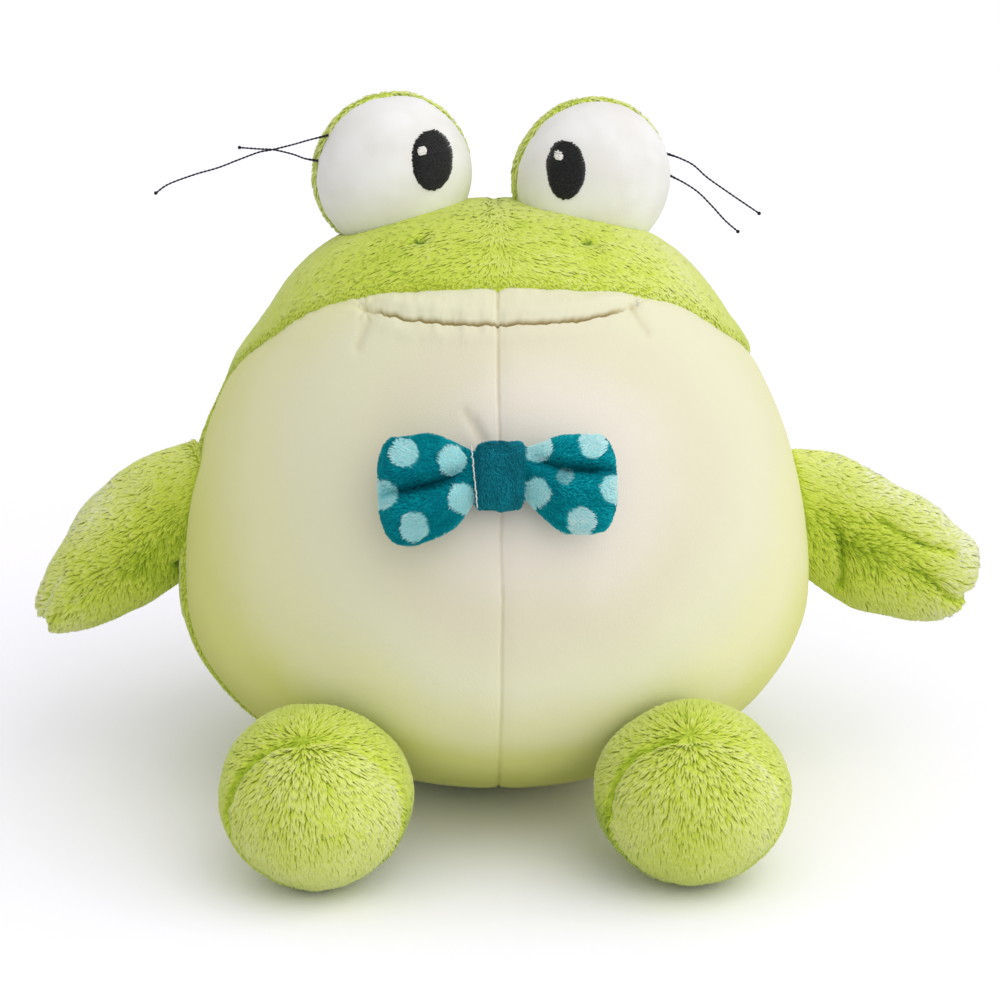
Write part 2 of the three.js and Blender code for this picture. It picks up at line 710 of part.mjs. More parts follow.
for (const side of Object.keys(SIDES)) {
  const place = ARM_PLACE[side];
  const armReach = 2 * ARM_LENGTH[side];
  const toward = SIDES[side];
  const root = sideAt(side, place.z).setY(place.y);
  const armMatrix = new THREE.Matrix4()
    .makeTranslation(...root.toArray())
    .multiply(new THREE.Matrix4().makeRotationY(radians(toward * place.droop)))
    .multiply(new THREE.Matrix4().makeRotationZ(radians(-toward * place.sweep)))
    .multiply(new THREE.Matrix4().makeScale(toward, 1, 1));
  // The arm hinges along the side seam. The root is cut by the body as the arm meets it at rest
  // and at both ends of its swing.
  const seamLow = sideAt(side, ARM_SEAM.low);
  const seamAxis = sideAt(side, ARM_SEAM.high).sub(seamLow).normalize();
  const turned = (degrees) =>
    new THREE.Matrix4()
      .makeTranslation(...root.toArray())
      .multiply(new THREE.Matrix4().makeRotationAxis(seamAxis, radians(degrees)))
      .multiply(new THREE.Matrix4().makeTranslation(...root.clone().negate().toArray()));
  const forward = toward * ARM_SWING.forward;
  const back = -toward * ARM_SWING.back;
  const swept = bodyClear.add(moved(bodyClear, turned(forward))).add(moved(bodyClear, turned(back)));
  const seated = (solid) => moved(solid, armMatrix).subtract(swept);
  const slab = (nearY, farY) =>
    block(
      new THREE.Vector3(-armReach, nearY, -armReach),
      new THREE.Vector3(armReach, farY, armReach),
    );
  const lining = armSkin(side, 0, ARM_INNER_SIDES);
  const shell = armSkin(side, PLUSH, ARM_SIDES).subtract(lining);
  const lines = FINGER_LINE_SHARES[side];
  const threads = Object.values(lines).map((line) =>
    line.map(([along, high]) => armFront(side, along, high * ARM.top, FINGER_LINE.depth)),
  );
  let front = shell.intersect(slab(-armReach, -CLEARANCE / 2));
  for (const points of threads) {
    const raised = points.map((at) => at.clone().setY(at.y - THREAD));
    const groove = lengthened(raised, THREAD);
    front = front.subtract(threadAlong(groove, FINGER_LINE.groove, FINGER_STEPS));
  }
  addPart("arm_front_" + side, seated(front));
  addPart("arm_back_" + side, seated(shell.intersect(slab(CLEARANCE / 2, armReach))));
  addPart("arm_stuffing_" + side, seated(armSkin(side, -CLEARANCE, ARM_INNER_SIDES)));
  Object.keys(lines).forEach((name, index) => {
    const line = threadAlong(threads[index], THREAD, FINGER_STEPS);
    addPart("arm_finger_thread_" + name + "_" + side, moved(line, armMatrix));
  });
}

// Feet

const footCentreZ = FOOT.halfHeight + PLUSH - FLAT_DEPTH;
const footReach = FOOT.halfWidth + PLUSH + OVERRUN;

for (const side of Object.keys(SIDES)) {
  const hinge = frontAt(SIDES[side] * FOOT_PLACE.x, FOOT_PLACE.seamTop, VELOUR);
  const middle = hinge.clone().setY(hinge.y - FOOT_PLACE.out).setZ(footCentreZ);
  const lift = new THREE.Matrix4()
    .makeTranslation(...hinge.toArray())
    .multiply(new THREE.Matrix4().makeRotationX(radians(FOOT_LIFT)))
    .multiply(new THREE.Matrix4().makeTranslation(...hinge.clone().negate().toArray()));
  const swept = bodyVelourClear.add(moved(bodyVelourClear, lift));
  const footBall = (grow, sides, rings) =>
    ball(
      FOOT.halfWidth + grow,
      FOOT.halfDepth + grow,
      FOOT.halfHeight + grow,
      sides,
      rings,
    ).translate(...middle.toArray());
  const seated = (solid) => solid.subtract(swept).subtract(floorCut);
  const slab = (nearY, farY) =>
    block(
      new THREE.Vector3(middle.x - footReach, middle.y + nearY, -OVERRUN),
      new THREE.Vector3(middle.x + footReach, middle.y + farY, 2 * footReach),
    );
  const lining = footBall(0, BALL_INNER_SIDES, BALL_INNER_RINGS);
  const shell = footBall(PLUSH, BALL_SIDES, BALL_RINGS).subtract(lining);
  const seam = -FOOT.seamForward;
  addPart("foot_front_" + side, seated(shell.intersect(slab(-footReach, seam))));
  addPart("foot_back_" + side, seated(shell.intersect(slab(seam + CLEARANCE, footReach))));
  addPart(
    "foot_stuffing_" + side,
    seated(footBall(-CLEARANCE, BALL_INNER_SIDES, BALL_INNER_RINGS)),
  );
}

// Bow tie, in its own frame: x along it, y into the belly, z up it

const bowStations = [...BOW_SHARES.slice(1).map(([at, open]) => [-at, open]).reverse(), ...BOW_SHARES];

const wingSkin = closedSkin(
  bowStations.length,
  BOW_SIDES,
  (row, round) => {
    const [at, open] = bowStations[row];
    const full = BOW_WING_HALF_HEIGHT[at < 0 ? "left" : "right"];
    const halfHeight = THREE.MathUtils.lerp(BOW_PINCH.halfHeight, full, open);
    const front = THREE.MathUtils.lerp(BOW_PINCH.halfThickness, BOW_WING.front, open);
    const back = THREE.MathUtils.lerp(BOW_PINCH.halfThickness, BOW_WING.back, open);
    const z = halfHeight * Math.cos(round);
    const fold = BOW_WING.crease * open * Math.exp(-Math.pow(z / BOW_WING.creaseWidth, 2));
    const facesFront = Math.sin(round) < 0;
    const y = facesFront ? front * Math.sin(round) + fold : back * Math.sin(round);
    return new THREE.Vector3(at * BOW.halfLength, y, z - BOW_WING.drop * open);
  },
  new THREE.Vector3(-BOW.halfLength, 0, -BOW_WING.drop / 2),
  new THREE.Vector3(BOW.halfLength, 0, -BOW_WING.drop / 2),
);
addPart("bow_wings", moved(wingSkin, bowMatrix));

function bandTube(cloth, halfWidth) {
  const tube = new THREE.CylinderGeometry(1, 1, 2 * halfWidth, ROUND_SIDES);
  tube.rotateZ(Math.PI / 2);
  tube.scale(
    1,
    BOW_PINCH.halfThickness + CLEARANCE + cloth,
    BOW_PINCH.halfHeight + CLEARANCE + cloth,
  );
  return solidFrom(tube);
}

const bandOuter = bandTube(BOW_BAND.cloth, BOW_BAND.width / 2);
const band = bandOuter.subtract(bandTube(0, BOW_BAND.width / 2 + OVERRUN)).subtract(tackHole);
addPart("bow_band", moved(band, bowMatrix));
addPart("bow_tack_stitch", moved(rodAlongY(TACK.diameter, tackNear, tackFar), bowMatrix));

// Materials

function material(color, roughness) {
  return new THREE.MeshStandardMaterial({ color, roughness, metalness: 0, flatShading: true });
}

const MATERIALS = {
  greenPlush: material(0xbccd63, 0.95),
  bellyVelour: material(0xe3deba, 0.85),
  whiteVelour: material(0xf0eeea, 0.85),
  blackThread: material(0x232325, 0.55),
  whiteThread: material(0xf4f2ec, 0.6),
  greenThread: material(0x9fb34b, 0.7),
  tealPlush: material(0x03727d, 0.9),
  tealBand: material(0x025c6d, 0.9),
  stuffing: material(0xf5f4f0, 1),
  pelletCloth: material(0xe6e2d6, 0.9),
};

// Each node takes the first material whose words start its name.
const MATERIAL_OF = [
  ["belly_panel", "bellyVelour"],
  ["mouth_thread", "whiteThread"],
  ["nostril_thread", "greenThread"],
  ["arm_finger_thread", "greenThread"],
  ["eye_front", "whiteVelour"],
  ["eye_pupil", "blackThread"],
  ["eye_lash", "blackThread"],
  ["eye_glint", "whiteThread"],
  ["bow_wings", "tealPlush"],
  ["bow_band", "tealBand"],
  ["bow_tack", "whiteThread"],
  ["pellet_bag", "pelletCloth"],
  ["body_stuffing", "stuffing"],
  ["eye_stuffing", "stuffing"],
  ["arm_stuffing", "stuffing"],
  ["foot_stuffing", "stuffing"],
];

const frog = new THREE.Group();
for (const [name, solid] of parts) {
  const found = MATERIAL_OF.find(([start]) => name.startsWith(start));
  const mesh = new THREE.Mesh(geometryFrom(solid), MATERIALS[found ? found[1] : "greenPlush"]);
  mesh.name = name;
  frog.add(mesh);
}

export default frog;
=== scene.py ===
# Plush frog: the looks of its cloth, pile, stitches and thread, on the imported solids.
# The shapes are worked out in millimetres and made in metres. +Z is up and the front faces -Y.
# Left and right are as seen from the front, so left is -X.
import itertools
import math

import bpy
import numpy as np
from mathutils import Matrix, Vector


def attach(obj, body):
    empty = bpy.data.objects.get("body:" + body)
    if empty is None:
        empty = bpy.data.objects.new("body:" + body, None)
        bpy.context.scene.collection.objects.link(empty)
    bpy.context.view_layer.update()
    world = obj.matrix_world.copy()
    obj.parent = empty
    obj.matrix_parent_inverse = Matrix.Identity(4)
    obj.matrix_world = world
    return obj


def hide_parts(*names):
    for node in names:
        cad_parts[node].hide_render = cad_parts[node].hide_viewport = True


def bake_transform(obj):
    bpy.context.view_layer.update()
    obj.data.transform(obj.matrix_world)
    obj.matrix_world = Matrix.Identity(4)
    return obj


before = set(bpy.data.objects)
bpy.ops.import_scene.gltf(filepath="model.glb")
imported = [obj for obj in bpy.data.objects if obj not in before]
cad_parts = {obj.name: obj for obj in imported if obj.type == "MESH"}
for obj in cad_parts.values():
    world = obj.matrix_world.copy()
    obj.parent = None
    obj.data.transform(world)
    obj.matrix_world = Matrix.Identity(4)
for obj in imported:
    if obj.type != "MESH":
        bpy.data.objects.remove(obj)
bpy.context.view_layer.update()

MILLIMETRE = 0.001
SIDES = {"left": -1, "right": 1}
X_AXIS, Y_AXIS, Z_AXIS = np.eye(3)

# In the values below, a ridge is its height and half width, a layer is a height, the size of its
# blobs and a seed, a blob is such a size and a seed, and a fade is where it starts and where it ends.
# Heights of shade, and of how ruffled pile is, go from 0 to 1.

# Camera, as the photograph was taken
CAMERA_ELEVATION = 20
CAMERA_AZIMUTH = -1.5
CAMERA_DISTANCE = 1150
CAMERA_TARGET = (1.2, 0, 84)
PIXEL = 0.3  # millimetres to a pixel at the target
PICTURE_WIDTH = 1000  # pixels
SENSOR_WIDTH = 36

# Cloth: heights over the lining
VELOUR = 1.6
PLUSH = 3.6  # to the tips of the pile
PLUSH_CLOTH = 2.3  # the cloth that the pile stands on
THREAD = 0.8
FLOOR_GAP = 0.3
BACK_FLOOR_GAP = 0.4

# Body: an egg that is widest low down
BODY_HALF_WIDTH = 92.4
BODY_FRONT = 83.4
BODY_BACK = 78.4
BODY_WIDE_HEIGHT = 59
BODY_RISE = 113.6
BODY_DROP = 55.9
BODY_HEIGHT = BODY_WIDE_HEIGHT + BODY_RISE
BODY_MIDDLE = np.array([0, 0, BODY_WIDE_HEIGHT])
FULLNESS_UPPER_SHARE = 0.03
FULLNESS_LOWER_SHARE = 0.01
SHOULDER_SWELL_SHARE = 0.14
SHOULDER_START_SHARE = 0.68
BODY_LUMPS = ((0.6, 34, 41), (0.25, 13, 43))

# Seam between belly and back: share of the front depth, share of the body height
SIDE_SEAM_SHARES = (
    (-0.66, 1.0),
    (-0.46, 0.945),
    (-0.31, 0.895),
    (-0.17, 0.825),
    (0.02, 0.75),
    (0.2, 0.68),
    (0.12, 0.6),
    (0.02, 0.52),
    (-0.06, 0.42),
    (-0.17, 0.26),
    (-0.28, 0.13),
    (-0.35, 0.02),
    (-0.37, -0.06),
)
SIDE_SEAM_SHIFT = {"left": -4, "right": 14}  # towards the back
SIDE_SEAM_FADE_SHARES = (0.58, 0.86)
SIDE_SEAM_VALLEY = (0.7, 3)
SIDE_SEAM_PUCKER = (0.25, 2.4, 67)
SIDE_SEAM_PUCKER_REACH = 4
LEAST_SLOPE_SHARE = 0.2
BELLY_TUCK = 4  # how far the belly runs in under the plush
BELLY_TUCK_DEPTH = 3.2
BELLY_TUCK_FADE = (-0.6, 3)
BACK_TUCK = 3
BACK_TUCK_DEPTH = 3.4
BACK_TUCK_FADE = (-2, 1.2)

# Grids of the body: counts, angles down from the top and round from the front, and where they crowd
BELLY_COUNTS = (330, 430)
BELLY_DOWN = (0.24, math.pi - 0.05)
BELLY_TURN = (-2.05, 2.05)
MOUTH_CROWD = (0.1, 2.2)
SEAM_CROWD = (-0.008, 0.035, 2.5)
BACK_COUNTS = (200, 400)
BACK_DOWN = (0.004, math.pi - 0.004)

# Mouth: where the fold lies on the front of the belly, and its height at the middle and corners
MOUTH_HALF_WIDTH = 38
MOUTH_HEIGHT = 154.5
MOUTH_CORNER_HEIGHT = 155.6
MOUTH_SLOPE_SHARE = 0.64  # height to distance along the cloth there
MOUTH_DEPTH = 1.9
MOUTH_CREASE = 0.6
MOUTH_CREASE_CHANGE = (0.25, (3.1, 1, 30), 53)
MOUTH_SWAY = (0.5, (2.3, 1, 30), 51)
MOUTH_SHIVER = (0.3, (0.8, 1, 30), 52)
MOUTH_WRINKLES = (0.5, (2.0, 1, 7.0), 57)
MOUTH_WRINKLE_REACH = 5.5
MOUTH_END_FADE = (-9, 3)  # past the corner
PUCKER_FADE = (-12, 10)  # from left to right
PUCKER_RIGHT_SHARE = 0.25
LIP = (1.3, 3.3)
CHIN = (0.6, 3.3)
LIP_ABOVE = 4.2  # the crease, and as far below it to the chin
CORNER_OUT = 0.6
CORNER_RAYS = 7
CORNER_RAY_START = 3
CORNER_RAY = (0.22, 2.2)
CORNER_PIT = (1.4, 1.6)
# Painted shade in the pit at each mouth corner
CORNER_PAINTED_SHADE = (0.45, 1.2)
MOUTH_THREAD_END = 2  # short of the corner
MOUTH_THREAD_UP = 0.5  # over the bottom of the crease
MOUTH_THREAD_POINTS = 90
FLUFF_OUT = 0.4
FLUFF_DEPTH = 1.6
FLUFF_COUNT = 8
FLUFF_REACH = (1.5, 2.4)
FLUFF_RADIUS = 0.12
FLUFF_BEND = 0.4
FLUFF_POINTS = 6
# Outwards, back and up: the middle way and how far it strays
FLUFF_WAY_SHARES = ((0.5, 0.9), (-1.2, 0.3), (0.3, 0.8))

# Short folds in the belly: across and height of both ends
BELLY_FOLDS = (
    ((-37.0, 154.0), (-40.5, 146.5)),
    ((38.8, 154.2), (42.5, 149.0)),
    ((-10.2, 134.0), (-5.8, 126.5)),
    ((-7.4, 131.6), (-4.6, 127.0)),
)
BELLY_FOLD_DEPTH = 0.5
BELLY_FOLD_WIDTH = 1.4
# Painted shade down in the short folds
BELLY_FOLD_PAINTED_SHADE_SHARE = 0.26
BELLY_SEAM_LEFT = 0.7
BELLY_SEAM_SWAY = (0.35, 14, 61)
BELLY_SEAM_STITCHES = (0.4, 1.6, 63)
BELLY_SEAM_DEPTH = 0.5
BELLY_SEAM_WIDTH = 0.5
BELLY_SEAM_VALLEY = (0.4, 2.6)
# Painted shade down in the centre seam
BELLY_SEAM_PAINTED_SHADE_SHARE = 0.24
TACK_PIT = (1.6, 13)
TACK_BELOW = 2  # the bow tie's middle

# Head: its seam, its nostrils and the way its pile is combed
HEAD_SEAM_VALLEY = (0.4, 1.1)
HEAD_SEAM_FRONT_SHARE = 0.2
HEAD_SEAM_FADE = (-10, 15)  # from front to back
NOSTRIL_PLACES = {"left": (-21.7, -16.7), "right": (25.0, -17.0)}
NOSTRIL_PIT = (2.2, 2.4)
NOSTRIL_SHORT = (0.5, 2.4)
# Painted shade in the nostril pits
NOSTRIL_PAINTED_SHADE = (0.3, 2.2)
NOSTRIL_THREAD_DEPTH = 1.2
NOSTRIL_THREAD_WAY = (1.95, -0.78, 0.91)
NOSTRIL_THREAD_SAG = 0.5
NOSTRIL_THREAD_POINTS = 8
NOSTRIL_SEARCH = (-12, 6)  # heights from the top of the body, where the cloth is looked for
NOSTRIL_GUESSES = 400
SHOWN_HEIGHT_SHARE = 0.66
SHOWN_BACK = 30
CROWN_HEIGHT_SHARE = 0.75
CROWN_BACK = 20
CROWN_WAY_SHARES = (0, -0.5, 0.3)
PARTING_SHARE = 1.2
PARTING_REACH = 9
HEAD_WAVES = (1, (16, 4, 3), 71)
HEAD_CRINKLES = (1, (6, 1.6, 1.1), 73)
HEAD_EDGE_FADE = (-0.5, 7)
HEAD_EDGE_SHARES = {"length": 0.4, "lift": 0.6}  # of the pile's, at the side seam
HEAD_CROWN_LIFT_SHARE = 0.65
HEAD_SEAM_LIFT_SHARE = 0.5
HEAD_RUFFLE_SHARES = (0.2, 0.26)  # even, and in waves
HEAD_SMOOTH = (0.8, 5)  # along the parting
HEAD_DARK_SHARE = 0.08
HEAD_DARK_FADE_SHARES = (0.2, 0.6)
HEAD_WAVE_SHARE = 0.06
# Painted light towards both sides of the head, more on the right, and painted shade left of its middle
HEAD_PAINTED_LIGHT_SHARES = {"left": 0.24, "right": 0.4}
HEAD_PAINTED_LIGHT_FADES = {"left": (56, 80), "right": (20, 80)}
HEAD_PAINTED_SHADE = (0.07, 24)
HEAD_PAINTED_SHADE_LEFT = 28

# Eyes: half sizes inside the cloth, places of their middles, and how they lean
EYE_HALF = np.array([21.7, 15.5, 21.8])
EYE_SEAM = 1.5  # behind the middle
EYE_MIDDLE = {"left": (-29.7, 13, 181.6), "right": (29, 13, 179.6)}
EYE_ROLL = {"left": -8, "right": 8}
EYE_TURN = 15
EYE_SOFT = (0.3, 9, 1)
EYE_PUCKER = (0.25, 2.2, 2)
EYE_PUCKER_REACH = 2.5
EYE_TUCK_DEPTH = 3.0
EYE_TUCK_FADES = {"front": (-0.8, 3), "back": (-2, 1)}
EYE_COUNTS = {"front": (84, 150), "back": (60, 120)}
EYE_ANGLES = {"front": (0.01, 1.85), "back": (1.35, math.pi - 0.01)}
EYE_SUNK = 1.5  # how far the cloth runs on inside the body
EYE_RIM = 2.2
EYE_RIM_GAP = 0.1
EYE_RIM_PILE = 2.0
EYE_RIM_WIDTH_SHARE = 0.7
EYE_RIM_LIGHT_SHARE = 0.22
EYE_BODY_GAP = 0.4
EYE_COMB_SHARES = (0, 0.8, -0.5)
EYE_RIM_COMB_SHARES = (0, 0.9, 0)
EYE_RUFFLE_SHARE = 0.35
EYE_RUFFLE = (0.4, 4, 5)
EYE_RIM_SMOOTH_SHARE = 0.3
EYE_CLUMP = 1.6

# Pupils and glints: satin stitches
PUPIL_MIDDLE = {"left": (8.6, 6.2), "right": (-13.3, 5.1)}
PUPIL_HALF = {"left": (7, 8.7), "right": (5.2, 8.4)}
PUPIL_ROLL = {"left": 6, "right": 0}
PUPIL_RISE = 0.75
GLINT_OFF = {"left": (-2.8, 3.8), "right": (-2.4, 4.0)}
GLINT_HALF = {"left": (1.8, 1.5), "right": (1.35, 1.6)}
GLINT_RISE = 1.15
STITCH = 0.42  # from one satin stitch to the next
STITCH_RADIUS = 0.32
STITCH_RAGGED_SHARE = 0.07
STITCH_SLANT = 0.1
STITCH_STRAY = 0.05
STITCH_END = 0.6
STITCH_POINTS = 9
STITCH_DOME_SHARES = (0.7, 0.5)  # how much lower the ends and the outer stitches are

# Lashes, from the middle of their eye: across, forward and up
LASH_ROUTES = {
    "left": {
        "upper": (
            (-19, 4.9, 13.2),
            (-24.3, 5.3, 12),
            (-29.7, 4.2, 10.2),
            (-35.8, 2.6, 8.3),
            (-39.5, 2.2, 7.5),
            (-45.8, 2, 5.1),
            (-51.5, 2.1, 2.9),
            (-58.6, 2.4, 0.9),
            (-66.1, 2.8, -1.8),
            (-69.9, 3, -4.4),
        ),
        "lower": (
            (-22.1, 5.6, 5.7),
            (-25.9, 5.2, 6.3),
            (-29.5, 2.8, 7),
            (-35.2, 0.2, 7.7),
            (-39.6, -1.6, 7.5),
            (-45.3, -3, 7.6),
        ),
    },
    "right": {
        "upper": (
            (21.8, -5, 6.4),
            (26, -3.2, 5.3),
            (29.8, -1.6, 3.6),
            (33.6, -0.1, 0.4),
            (39.5, 1.4, -3.6),
            (44.5, 2.4, -6.9),
            (49, 3, -9.9),
        ),
        "lower": (
            (22.4, -6.6, -0.4),
            (27.4, -5.5, -2.8),
            (31.6, -4, -5.4),
            (36, -3.2, -9.8),
            (39.5, -3, -13.7),
            (43.4, -3.2, -17.2),
        ),
    },
}
LASH_PLY_RADIUS = 0.18
LASH_PLY_OUT = 0.12  # from the middle of the thread
LASH_TWIST = 2.4  # from one turn to the next
LASH_ROOT_SWELL = (0.9, 2.5)  # share of its thickness, and length
KNOT_LOOPS = 3
KNOT_POINTS = 14
KNOT_HALF = 0.38
KNOT_RADIUS = 0.192

# Arms
ARM_LENGTH = {"left": 58, "right": 56}
ARM_THICKNESS = 21
ARM_TOP = 22
ARM_BOTTOM = 20.4
ARM_ROOT = {"left": (-94.357, -2, 82), "right": (94.895, 3, 78)}
ARM_DROOP = {"left": 37, "right": 24}
ARM_SWEEP = {"left": -8, "right": 0}
# Stations along the arm: share of length, of the top edge, of the bottom edge, of the thickness
ARM_SHARES = {
    "left": (
        (-0.3, 0.7, 0.55, 0.6),
        (-0.05, 0.92, 0.72, 0.6),
        (0.1, 0.95, 0.8, 0.66),
        (0.26, 0.913, 0.88, 0.88),
        (0.43, 0.815, 0.905, 1.0),
        (0.6, 0.6, 0.83, 0.98),
        (0.76, 0.364, 0.71, 0.86),
        (0.88, 0.163, 0.553, 0.7),
        (0.955, 0.01, 0.47, 0.6),
        (1.0, -0.05, 0.5, 0.5),
    ),
    "right": (
        (-0.3, 0.7, 0.6, 0.6),
        (-0.05, 0.93, 0.82, 0.6),
        (0.1, 0.93, 0.945, 0.66),
        (0.26, 0.89, 1.06, 0.88),
        (0.43, 0.815, 1.16, 1.0),
        (0.6, 0.73, 1.083, 0.98),
        (0.76, 0.58, 0.994, 0.86),
        (0.88, 0.478, 0.87, 0.7),
        (0.955, 0.367, 0.735, 0.6),
        (1.0, 0.26, 0.738, 0.5),
    ),
}
ARM_CLOSE_SHARE = 0.86  # of the length, where the tip starts to round off
ARM_COUNTS = (80, 26, 110)  # rows to there, rows of the tip, points round it
ARM_SOFT = ((0.5, 15, 0), (0.35, 7, 1))
NOTCH_SHARE = {"left": -0.186, "right": -0.18}  # of the top edge
NOTCH_START_SHARE = 0.8
NOTCH = (1.7, 1.9)
# Finger creases: share of length, share of the top edge
FINGER_LINE_SHARES = {
    "left": {
        "upper": ((0.634, 0.286), (0.757, 0.182), (0.895, -0.014), (0.957, -0.136), (1.02, -0.186)),
        "lower": ((0.219, 0.005), (0.343, -0.041), (0.471, -0.105), (0.74, -0.114)),
    },
    "right": {
        "upper": ((0.31, 0.382), (0.536, 0.282), (0.763, 0.323)),
        "lower": ((0.616, -0.045), (0.866, -0.273), (0.94, -0.24), (1.02, -0.18)),
    },
}
FINGER_CREASE = (1.2, 1.1)
FINGER_START_FADE = (-3, 6)
FINGER_BACK_SHARE = 0.5
FINGER_SIDE_POWER = 0.3  # how fast a crease fades towards the edges
FINGER_DEEPEST_SHARE = 0.6  # of the arm's half thickness
FINGER_THREAD_END_SHARE = 0.95
FINGER_THREAD_DEPTH = 0.25
NEAREST_POINTS = 4  # of the cloth, which say how deep the thread lies
# Slack folds in the cloth near the body, in the same shares
ARM_FOLD_SHARES = {
    "left": ((0.16, -0.5), (0.13, -0.74)),
    "right": ((0.03, 0.24), (0.155, -0.03), (0.257, -0.44), (0.29, -0.66)),
}
ARM_FOLD = (1.7, 1.7)
ARM_FOLD_FADE = (-3, 7)
# Pile of the arms
ARM_COMB_SHARES = {"above": (1, 0, 0.16), "below": (0.8, 0, -0.75)}
ARM_COMB_FADE = (-7, 5)
ARM_PILE_SUNK = 1
ARM_ROOT_FADE = (-17.5, -13)
ARM_ROOT_PILE_SHARE = 0.35
ARM_RUFFLE_SHARE = 0.4
ARM_RUFFLE = (0.3, 6, 7)
ARM_RUFFLE_RIDGE = (0.4, 7)  # above the lower crease
ARM_RUFFLE_FADE = (-6, 6)
ARM_SMOOTH_SHARE = 0.6
ARM_SMOOTH_FADE = (6, 16)
CREASE_REACH = 1.1
CREASE_LENGTH_SHARE = 0.3
CREASE_LIFT_SHARE = 0.6
# In the finger creases: painted light where the left arm's pile parts, painted shade in the right arm's
# creases
CREASE_PAINTED_SHADE_AND_LIGHT = {"left": 0.2, "right": -0.3}
# Painted shade in the slack folds
ARM_FOLD_PAINTED_SHADE = (0.3, 1.5)
# Painted light on the arms' top edge and at the tip, and the most of it
ARM_TOP_PAINTED_LIGHT_SHARE = 0.34
ARM_TIP_PAINTED_LIGHT_SHARE = 0.32
ARM_TIP_FADE = (32, 58)
ARM_MOST_PAINTED_LIGHT_SHARE = 0.36
# Painted shade near the body and just below the lower crease
ARM_ROOT_PAINTED_SHADE_SHARE = 0.14
ARM_ROOT_PAINTED_SHADE_FADE = (0, 16)
ARM_LINE_PAINTED_SHADE = (0.12, 2.4)  # just below the lower crease
ARM_LINE_BELOW = 1
ARM_LINE_FADE = (4, 16)
# A patch of painted shade on the front of each arm
ARM_PAINTED_SHADE_MIDDLE = {"left": (15.6, -8.5), "right": (19, 3)}
ARM_PAINTED_SHADE_REACH = {"left": 10, "right": 13}
ARM_PAINTED_SHADE_SHARE = 0.24

# Feet
FOOT_HALF = np.array([25, 24.5, 23.2])
FOOT_MIDDLE = {"left": (-53.5, -86.0, 26.3), "right": (53.5, -86.0, 26.3)}
FOOT_HINGE = (0, -67.302, 46)
FOOT_FLEX = 20
FOOT_SEAM = -12  # in front of the middle
FOOT_COUNTS = (110, 150)
FOOT_ANGLES = (0.01, math.pi - 0.01)
FOOT_SOFT = ((0.6, 18, 0), (0.3, 7, 1))
FOOT_PUCKER = (0.25, 2.6, 2)
FOOT_PUCKER_REACH = 3
FOOT_VALLEYS = (0.6, 0.5)  # everywhere, and more where it is drawn in
FOOT_VALLEY_REACH = 0.9
FOOT_CREASE_FADES = {"left": (2, 8), "up": (-6, 4)}
FOOT_BODY_GAPS = {"rest": 0.4, "flexed": 1}
# Pile of the feet, combed away from a whorl
WHORL = {"left": (-2.7, -14.2, 21.5), "right": (-1.9, -14.2, 21.5)}  # from the foot's middle
FOOT_PILE_GAP = 1.3
FOOT_PILE_FLOOR_GAP = 0.9
FOOT_PILE_FADE = (1, 6)
FOOT_DOWN = 5
FOOT_LOW_FADE = (-10, 18)
FOOT_RUFFLE_SHARE = 0.32
FOOT_RUFFLE = (0.25, 5, 7)
FOOT_LOW_SMOOTH_SHARE = 0.55
FOOT_RUFFLE_RIDGE = (0.6, 13)
FOOT_FREE_SHARES = {"length": 0.3, "lift": 0.4}  # of the pile's, where it is nearest to the belly
FOOT_SEAM_REACH = 0.8
FOOT_SEAM_LIFT_SHARE = 0.4
# Painted shade in the seam's crease, more where it is drawn in
FOOT_SEAM_PAINTED_SHADE_SHARES = (0.1, 0.3)
FOOT_PANEL_FADE = (-0.4, 0.6)
FOOT_FLECKS = (1, (0.9, 0.9, 3.4), 8)
FOOT_FLECK_FADE_SHARES = (0.2, 0.7)
FOOT_FLECK_SHARES = (0.12, 0.8)
FOOT_INNER_FADE = (8, 20)
# Back panel a little darker everywhere, with painted shade low down and on the inner side
FOOT_PANEL_DARK_AND_PAINTED_SHADE_SHARES = (0.04, 0.16, 0.36)  # everywhere, low down, and on the inner side
FOOT_PANEL_LOW_FADE = (-8, 6)
# Lighter everywhere and low down, and painted light on the right side
FOOT_LIGHTER_AND_PAINTED_LIGHT_SHARES = (0.08, 0.04, 0.14)  # everywhere, low down, and to the right
FOOT_PAINTED_LIGHT_FADE = (4, 24)
FOOT_PAINTED_LIGHT_LOW_SHARE = 0.6

# Bow tie, in its own frame: x along it, y into the belly, z up it
BOW_MIDDLE = (-1, -80.305, 120.36)
BOW_TILT = 20
BOW_ROLL = 1.6
BOW_HALF_LENGTH = {"left": 33.4, "right": 32}
# How far a wing is opened: share of its length, share of its full height
BOW_SHARES = (
    (0, 0),
    (0.205, 0),
    (0.28, 0.24),
    (0.4, 0.66),
    (0.56, 0.94),
    (0.72, 1.0),
    (0.86, 0.96),
    (1.0, 0.86),
)
BOW_CLOSE_SHARE = 0.86
WING_COUNTS = (60, 20, 120)  # rows to there, rows of the end, points round it
WING_HALF_HEIGHT = {"left": 14.8, "right": 13}
WING_FRONT = 9
WING_BACK = 4
WING_DROP = 3
WING_SQUARE_POWER = 0.82
WING_END_SHARE = 0.75
WING_PUFF = (0.25, 4)
WING_PUFF_OFF = 6  # from the fold
WING_CRUMPLE = ((0.8, (9, 9, 5), 81), (0.4, 4, 83))
WING_GATHERS = (0.5, (30, 30, 2.2), 85)
WING_GATHER_REACH = 5
PINCH_HALF_HEIGHT = 6.6
PINCH_HALF_THICKNESS = 4.2
WING_FOLD = (6, 1.9)
